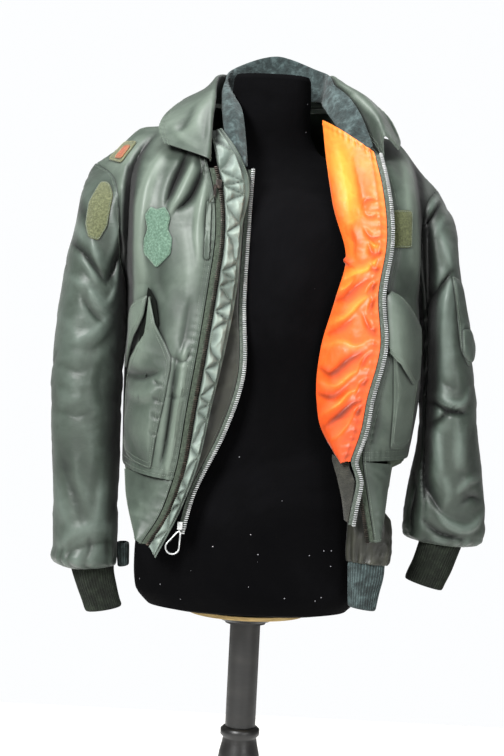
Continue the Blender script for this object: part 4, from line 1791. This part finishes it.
def capped(made, columns, rows):
    """Close the small holes at the middle of a ring grid's two skins."""
    mesh = bmesh.new()
    mesh.from_mesh(made.data)
    mesh.verts.ensure_lookup_table()
    first = (rows - 1) * columns
    inner = [mesh.verts[first + k] for k in range(columns)]
    outer = [mesh.verts[rows * columns + first + k] for k in range(columns)]
    joined = [face for face in mesh.faces if len({v.index for v in face.verts} & {v.index for v in inner}) == 2
              and len({v.index for v in face.verts} & {v.index for v in outer}) == 2]
    bmesh.ops.delete(mesh, geom=joined, context="FACES_ONLY")
    mesh.faces.new(outer)
    mesh.faces.new(inner[::-1])
    mesh.to_mesh(made.data)
    mesh.free()


def rim_lines(face, insets):
    """Stitch lines round a draped piece, inset from its outline."""
    return sewn(ringed(face), [(0, inset) for inset in insets])


front_tree = tree_of(right_face, left_face)
arm_tree = tree_of(ringed(right_arm), ringed(left_arm))
FRONT_OPENING = ((-0.152, 1.013), (-0.148, 0.975), (-0.163, 0.945), (-0.182, 0.913))


def distance_to(line, x, z):
    """Distance from each place to a line of points."""
    points = np.stack([x, z], axis=-1)
    line = np.asarray(line)
    nearest = np.full(x.shape, 1.0)
    for a, b in zip(line, line[1:]):
        share = np.clip(((points - a) @ (b - a)) / ((b - a) @ (b - a)), 0, 1)
        nearest = np.minimum(
            nearest, np.linalg.norm(points - a - share[..., None] * (b - a), axis=-1)
        )
    return nearest


def right_bag(x, z, inward):
    """The right pocket gapes at its slanted opening and hangs full at its foot."""
    gape = 0.0080 * np.exp(-((distance_to(FRONT_OPENING, x, z) / 0.020) ** 2))
    full = 0.0050 * np.exp(-(((z - 0.835) / 0.055) ** 2)) * smooth(inward, 0.0, 0.020)
    seen = np.stack([x, z], axis=-1)
    return gape * smooth(z, 0.90, 0.93) + full + creased(seen, POCKET_CREASES)


def right_lid(x, z, inward):
    """The right flap stands open, away from the opening's edge."""
    return 0.0085 * smooth(x, -0.194, -0.168) + 0.0015 * smooth(inward, 0, 0.006)


def left_lid(x, z, inward):
    """The left flap lies closed, its tip lifted a little."""
    return 0.0065 * smooth(0.215 - x, -0.01, 0.03) + 0.0012 * smooth(inward, 0, 0.006)


POCKET_MOUTH = (
    (-0.1580, 1.0260), (-0.1460, 1.0070), (-0.1400, 0.9760), (-0.1480, 0.9410), (-0.1630, 0.9110),
    (-0.1720, 0.9130), (-0.1700, 0.9330), (-0.1660, 0.9580), (-0.1600, 0.9890),
)
POCKET_CLOTH = 0.0018
FLAP_CLOTH = 0.0024
PILE = 0.0022
bag_face = draped(
    "pocket_right_bag", front_tree, RIGHT_POCKET, (-0.160, 0.870), POCKET_CLOTH, SAGE, "pocket_right", move=right_bag
)
draped(
    "pocket_right_mouth", front_tree, POCKET_MOUTH, (-0.1643, 0.9566), 0.0008, POCKET_LINING, None, lift=0.0040
)
lid_face = draped(
    "pocket_right_flap", front_tree, RIGHT_FLAP, (-0.178, 0.965), FLAP_CLOTH, SAGE, "pocket_flap_right", move=right_lid
)
left_bag_face = draped(
    "pocket_left_bag", front_tree, LEFT_POCKET, (0.206, 0.900), POCKET_CLOTH, SAGE, "pocket_left", swell=0.002
)
left_tree = tree_of(left_face, ringed(left_bag_face))
flap_face = draped(
    "pocket_left_flap", left_tree, LEFT_FLAP, (0.204, 0.970), FLAP_CLOTH, SAGE, "pocket_flap_left", move=left_lid
)
for face in (bag_face, left_bag_face, lid_face, flap_face):
    sage_stitches += rim_lines(face, (0.0025, 0.0085))

chest_face = draped(
    "chest_loop_patch", front_tree, CHEST_PATCH, (-0.150, 1.098), PILE, LOOP_GREEN, "chest_patch"
)
tape_face = draped(
    "name_loop_tape", front_tree, NAME_TAPE, (0.190, 1.123), PILE, LOOP_TAN, "name_tape"
)
arm_centre = sunk((-0.246, 1.135))
arm_outline = np.asarray(ARM_PATCH) + arm_centre - (-0.246, 1.135)
arm_face = draped(
    "arm_loop_patch", arm_tree, arm_outline, arm_centre, PILE, LOOP_OLIVE, "arm_patch"
)
base_face = draped(
    "shoulder_loop_patch", front_tree, SHOULDER_BASE, (-0.214, 1.228), PILE, LOOP_OLIVE, "shoulder_patch_base"
)
base_tree = tree_of(ringed(base_face))
mark_face = draped(
    "shoulder_felt_patch", base_tree, SHOULDER_PATCH, (-0.2138, 1.226), 0.0012, PATCH_RED, "shoulder_patch"
)
side_face = draped(
    "sleeve_pocket_bag", arm_tree, sunk(SLEEVE_POCKET), sunk((0.299, 1.000)), FLAP_CLOTH, SAGE_SLEEVE, "sleeve_pocket", swell=0.002
)
side_tree = tree_of(ringed(side_face))
side_flap_face = draped(
    "sleeve_pocket_lid", side_tree, sunk(SLEEVE_POCKET_FLAP), sunk((0.309, 0.968)), FLAP_CLOTH, SAGE_SLEEVE, "sleeve_pocket_flap"
)
strap_face = draped(
    "zip_pull_ribbon", front_tree, PULL_STRAP, (-0.0805, 1.106), 0.0016, SAGE, "pull_strap", lift=0.0016
)
for face, inset in (
    (chest_face, 0.002), (tape_face, 0.0018), (arm_face, 0.002), (side_face, 0.003),
    (side_flap_face, 0.003)
):
    sage_stitches += rim_lines(face, (inset,))
tan_lines = rim_lines(base_face, (0.002,)) + rim_lines(mark_face, (0.0015,))

row("shell_stitches", sage_stitches, STITCH_PITCH, STITCH, SAGE_THREAD)
row("orange_stitches", orange_lines, STITCH_PITCH, STITCH, ORANGE_THREAD)
row("liner_stitches", dark_lines, STITCH_PITCH, STITCH, DARK_THREAD)
row("shoulder_patch_stitches", tan_lines, STITCH_PITCH * 0.7, STITCH, TAN_THREAD)
for shape in (STITCH, TOOTH):
    bpy.data.objects.remove(shape, do_unlink=True)


# zip sliders and pulls
def box_with_waist(name, size, place, look, waist=0.8):
    """A slider's body: a box drawn in at its middle, with rounded edges."""
    mesh = bmesh.new()
    bmesh.ops.create_cube(mesh, size=1.0)
    bmesh.ops.subdivide_edges(mesh, edges=mesh.edges, cuts=3, use_grid_fill=True)
    for vert in mesh.verts:
        vert.co.x *= 1 - (1 - waist) * (1 - abs(vert.co.z * 2))
        vert.co = Vector(place) + Vector(size) * vert.co
    bmesh.ops.bevel(mesh, geom=[e for e in mesh.edges if e.calc_face_angle(0) > 0.9], offset=0.0006, segments=2,
                    affect="EDGES")
    made = bpy.data.meshes.new(name)
    mesh.to_mesh(made)
    mesh.free()
    return placed(name, made, look)


def wire(name, points, radius, look):
    """A round wire or cord through points."""
    points = np.asarray(points, float)
    ahead = unit(np.gradient(points, axis=0))
    aside = unit(np.cross(ahead, (0.13, 1.0, 0.07)))
    above = np.cross(aside, ahead)
    turn = np.linspace(0, 2 * math.pi, 10, endpoint=False)
    rings = points[:, None] + radius * (
        aside[:, None] * np.cos(turn)[:, None] + above[:, None] * np.sin(turn)[:, None]
    )
    mesh = bmesh.new()
    verts = [[mesh.verts.new(p) for p in ring] for ring in rings]
    for low, high in zip(verts, verts[1:]):
        for k in range(10):
            m = (k + 1) % 10
            mesh.faces.new((low[k], high[k], high[m], low[m]))
    mesh.faces.new(verts[0])
    mesh.faces.new(verts[-1][::-1])
    bmesh.ops.recalc_face_normals(mesh, faces=mesh.faces)
    made = bpy.data.meshes.new(name)
    mesh.to_mesh(made)
    mesh.free()
    return placed(name, made, look)


slider_place = edge_rail(RIGHT_FRONT, np.array([0.815]))[0] + (
    ZIP_GAP + 0.75 * ZIP_WIDTH, -0.0066, 0
)
slider = box_with_waist("main_slider", (0.0085, 0.0040, 0.0120), slider_place, DARK_METAL)
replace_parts(slider, "zip_slider")
pull = box_with_waist(
    "main_pull", (0.0040, 0.0014, 0.0180), slider_place + (-0.0050, -0.0034, -0.0100), DARK_METAL, 1.0
)
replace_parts(pull, "zip_pull")
cord_top = slider_place + (-0.0050, -0.0040, -0.0170)
cord_foot = strap_face.reshape(-1, 3)[strap_face[..., 2].argmax()] + (0.0, -0.0012, -0.002)
drop = np.linspace(0, 1, 12)[:, None]
wire(
    "pull_cord", cord_top * (1 - drop) + cord_foot * drop + (0, -0.003, 0) * np.sin(drop * math.pi),
    0.0011, DARK_THREAD
)
bottom_slider = box_with_waist(
    "liner_slider_body", (0.0075, 0.0048, 0.0110), (-0.0985, -0.1439, 0.6940), SILVER_METAL
)
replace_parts(bottom_slider, "liner_slider")
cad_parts["ring_pull"].data.materials.clear()
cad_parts["ring_pull"].data.materials.append(SILVER_METAL)


# dress form and stand
def form():
    """The torso, lofted finely through its rings, closed at its foot and at the slanted neck."""
    rows = np.asarray(FORM_RINGS)
    step = np.concatenate([[0], np.cumsum(np.hypot(np.diff(rows[:, 0]), np.diff(rows[:, 1])))])
    at = np.unique(np.concatenate([np.linspace(0, step[-1], 110), step]))
    read = np.stack(
        [np.interp(at, step, rows[:, 0])] + [smooth_read(step, rows[:, k], at) for k in range(1, 5)]
    )
    angle = np.linspace(0, 2 * math.pi, 128, endpoint=False)
    mesh, rings = bmesh.new(), []
    for z, half_width, front, back_depth, centre in read.T:
        x, y = superellipse(half_width, front, back_depth, angle, FORM_SQUARENESS)
        tilt = NECK_SLANT * np.clip((z - 1.265) / 0.08, 0, 1)
        # the jersey's seams: down the middle of the front and back, and over each breast
        seam = 1 - 0.006 * sum(
            np.exp(-(((np.cos(angle) - c) / 0.018) ** 2)) for c in (-0.52, 0.0, 0.52)
        )
        rings.append(
            [mesh.verts.new((a, b * s + centre, z + tilt * b)) for a, b, s in zip(x, y, seam)]
        )
    for low, high in zip(rings, rings[1:]):
        for k in range(len(low)):
            m = (k + 1) % len(low)
            mesh.faces.new((low[k], low[m], high[m], high[k]))
    mesh.faces.new(rings[0][::-1])
    mesh.faces.new(rings[-1])
    made = bpy.data.meshes.new("dress_form")
    mesh.to_mesh(made)
    mesh.free()
    return placed("dress_form", made, JERSEY)


def smooth_read(keys, values, at):
    """A column read smoothly between its rows, without overshooting them."""
    slopes = np.gradient(values, keys)
    steps = np.diff(values) / np.maximum(np.diff(keys), 1e-9)
    for k in range(len(values)):
        near = steps[max(k - 1, 0) : k + 1]
        if len(near) == 2 and near[0] * near[1] <= 0:
            slopes[k] = 0
        else:
            slopes[k] = np.clip(slopes[k], -3 * abs(near).min(), 3 * abs(near).min())
    low = np.clip(np.searchsorted(keys, at, side="right") - 1, 0, len(keys) - 2)
    step = keys[low + 1] - keys[low]
    u = (at - keys[low]) / step
    return (
        (2 * u**3 - 3 * u**2 + 1) * values[low]
        + (u**3 - 2 * u**2 + u) * step * slopes[low]
        + (3 * u**2 - 2 * u**3) * values[low + 1]
        + (u**3 - u**2) * step * slopes[low + 1]
    )


def turned(name, profile, look, node_name, steps=72):
    """A turned piece about the Z axis: radius and height pairs from top to bottom, eased between."""
    rows = np.asarray(profile, float)
    run = np.concatenate([[0], np.cumsum(np.linalg.norm(np.diff(rows, axis=0), axis=1))])
    at = np.unique(np.concatenate([run, np.linspace(0, run[-1], 36)]))
    line = np.stack([smooth_read(run, rows[:, k], at) for k in range(2)], axis=-1)
    mesh, rings = bmesh.new(), []
    angle = np.linspace(0, 2 * math.pi, steps, endpoint=False)
    for radius, z in line:
        rings.append(
            [mesh.verts.new((radius * math.cos(a), radius * math.sin(a), z)) for a in angle]
        )
    for high, low in zip(rings, rings[1:]):
        for k in range(steps):
            m = (k + 1) % steps
            mesh.faces.new((low[k], low[m], high[m], high[k]))
    mesh.faces.new(rings[0])
    mesh.faces.new(rings[-1][::-1])
    made = bpy.data.meshes.new(name)
    mesh.to_mesh(made)
    mesh.free()
    turned_piece = placed(name, made, look)
    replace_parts(turned_piece, node_name)
    return turned_piece


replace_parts(form(), "form_body")
turned(
    "form_foot_board", [(0.088, FORM_BOTTOM - 0.0003), (0.088, 0.5567), (0.085, 0.5560)], BARE_WOOD,
    "form_board"
)
turned(
    "flange", [(0.040, 0.5557), (0.041, 0.549), (0.038, 0.545), (0.030, 0.5425), (0.030, 0.540)],
    BLACK_WOOD, "pole_flange"
)
turned("pole_tube", [(POLE_RADIUS, 0.5397), (POLE_RADIUS, 0.386)], BLACK_WOOD, "pole")
turned("pole_turning", POLE_TURNING, BLACK_WOOD, "pole_lower")
turned(
    "foot", [(0.060, 0.032), (0.110, 0.026), (0.143, 0.018), (FOOT_RADIUS, 0.010), (FOOT_RADIUS, 0.0)], BLACK_WOOD, "foot_disc"
)


# floor and soft light
def floor():
    """The studio's pale floor, which ends where the photograph's wall begins."""
    mesh = bpy.data.meshes.new("floor")
    mesh.from_pydata([(-4, -3, 0), (4, -3, 0), (4, 1.76, 0), (-4, 1.76, 0)], [], [(0, 1, 2, 3)])
    made = bpy.data.objects.new("floor", mesh)
    bpy.context.scene.collection.objects.link(made)
    look, tree, shader = surface("pale_studio_floor", 0.7)
    mottled(tree, shader, ("E4E3DF", "ECEBE8", "F4F3F1"), 0.4)
    shader.inputs["Emission Color"].default_value = linear("F4F4F2")
    shader.inputs["Emission Strength"].default_value = 0.35
    mesh.materials.append(look)


def soft_light(name, place, aim, size, power, gloss=True):
    """A square softbox, aimed at a place; without gloss it gives no highlights."""
    data = bpy.data.lights.new(name, "AREA")
    data.shape = "SQUARE"
    data.size = size
    data.energy = power
    made = bpy.data.objects.new(name, data)
    made.location = place
    made.rotation_euler = (Vector(aim) - Vector(place)).to_track_quat("-Z", "Y").to_euler()
    made.visible_glossy = gloss
    bpy.context.scene.collection.objects.link(made)


def studio_world():
    """White all round for the camera, and a softer grey for the light it gives."""
    world = bpy.data.worlds.new("studio")
    world.use_nodes = True
    bpy.context.scene.world = world
    tree = world.node_tree
    back = tree.nodes["Background"]
    back.inputs["Color"].default_value = (0.98, 0.99, 1.0, 1.0)
    path = node(tree, "ShaderNodeLightPath").outputs["Is Camera Ray"]
    level = node(tree, "ShaderNodeMapRange", {"Value": path, 3: 0.10, 4: 1.0}).outputs[0]
    tree.links.new(level, back.inputs["Strength"])


floor()
soft_light("key", (-1.3, -2.2, 2.2), (-0.05, 0.0, 1.05), 0.8, 128)
soft_light("fill", (1.5, -2.4, 1.3), (0.05, 0.0, 0.95), 0.8, 24)
soft_light("top", (-0.2, -0.4, 2.8), (0.0, 0.0, 1.1), 0.8, 34)
soft_light("back_left", (1.2, 2.3, 2.2), (0.1, 0.0, 1.0), 1.0, 34, False)
soft_light("back_right", (-1.3, 2.2, 2.0), (0.0, 0.0, 1.0), 1.0, 34, False)
studio_world()
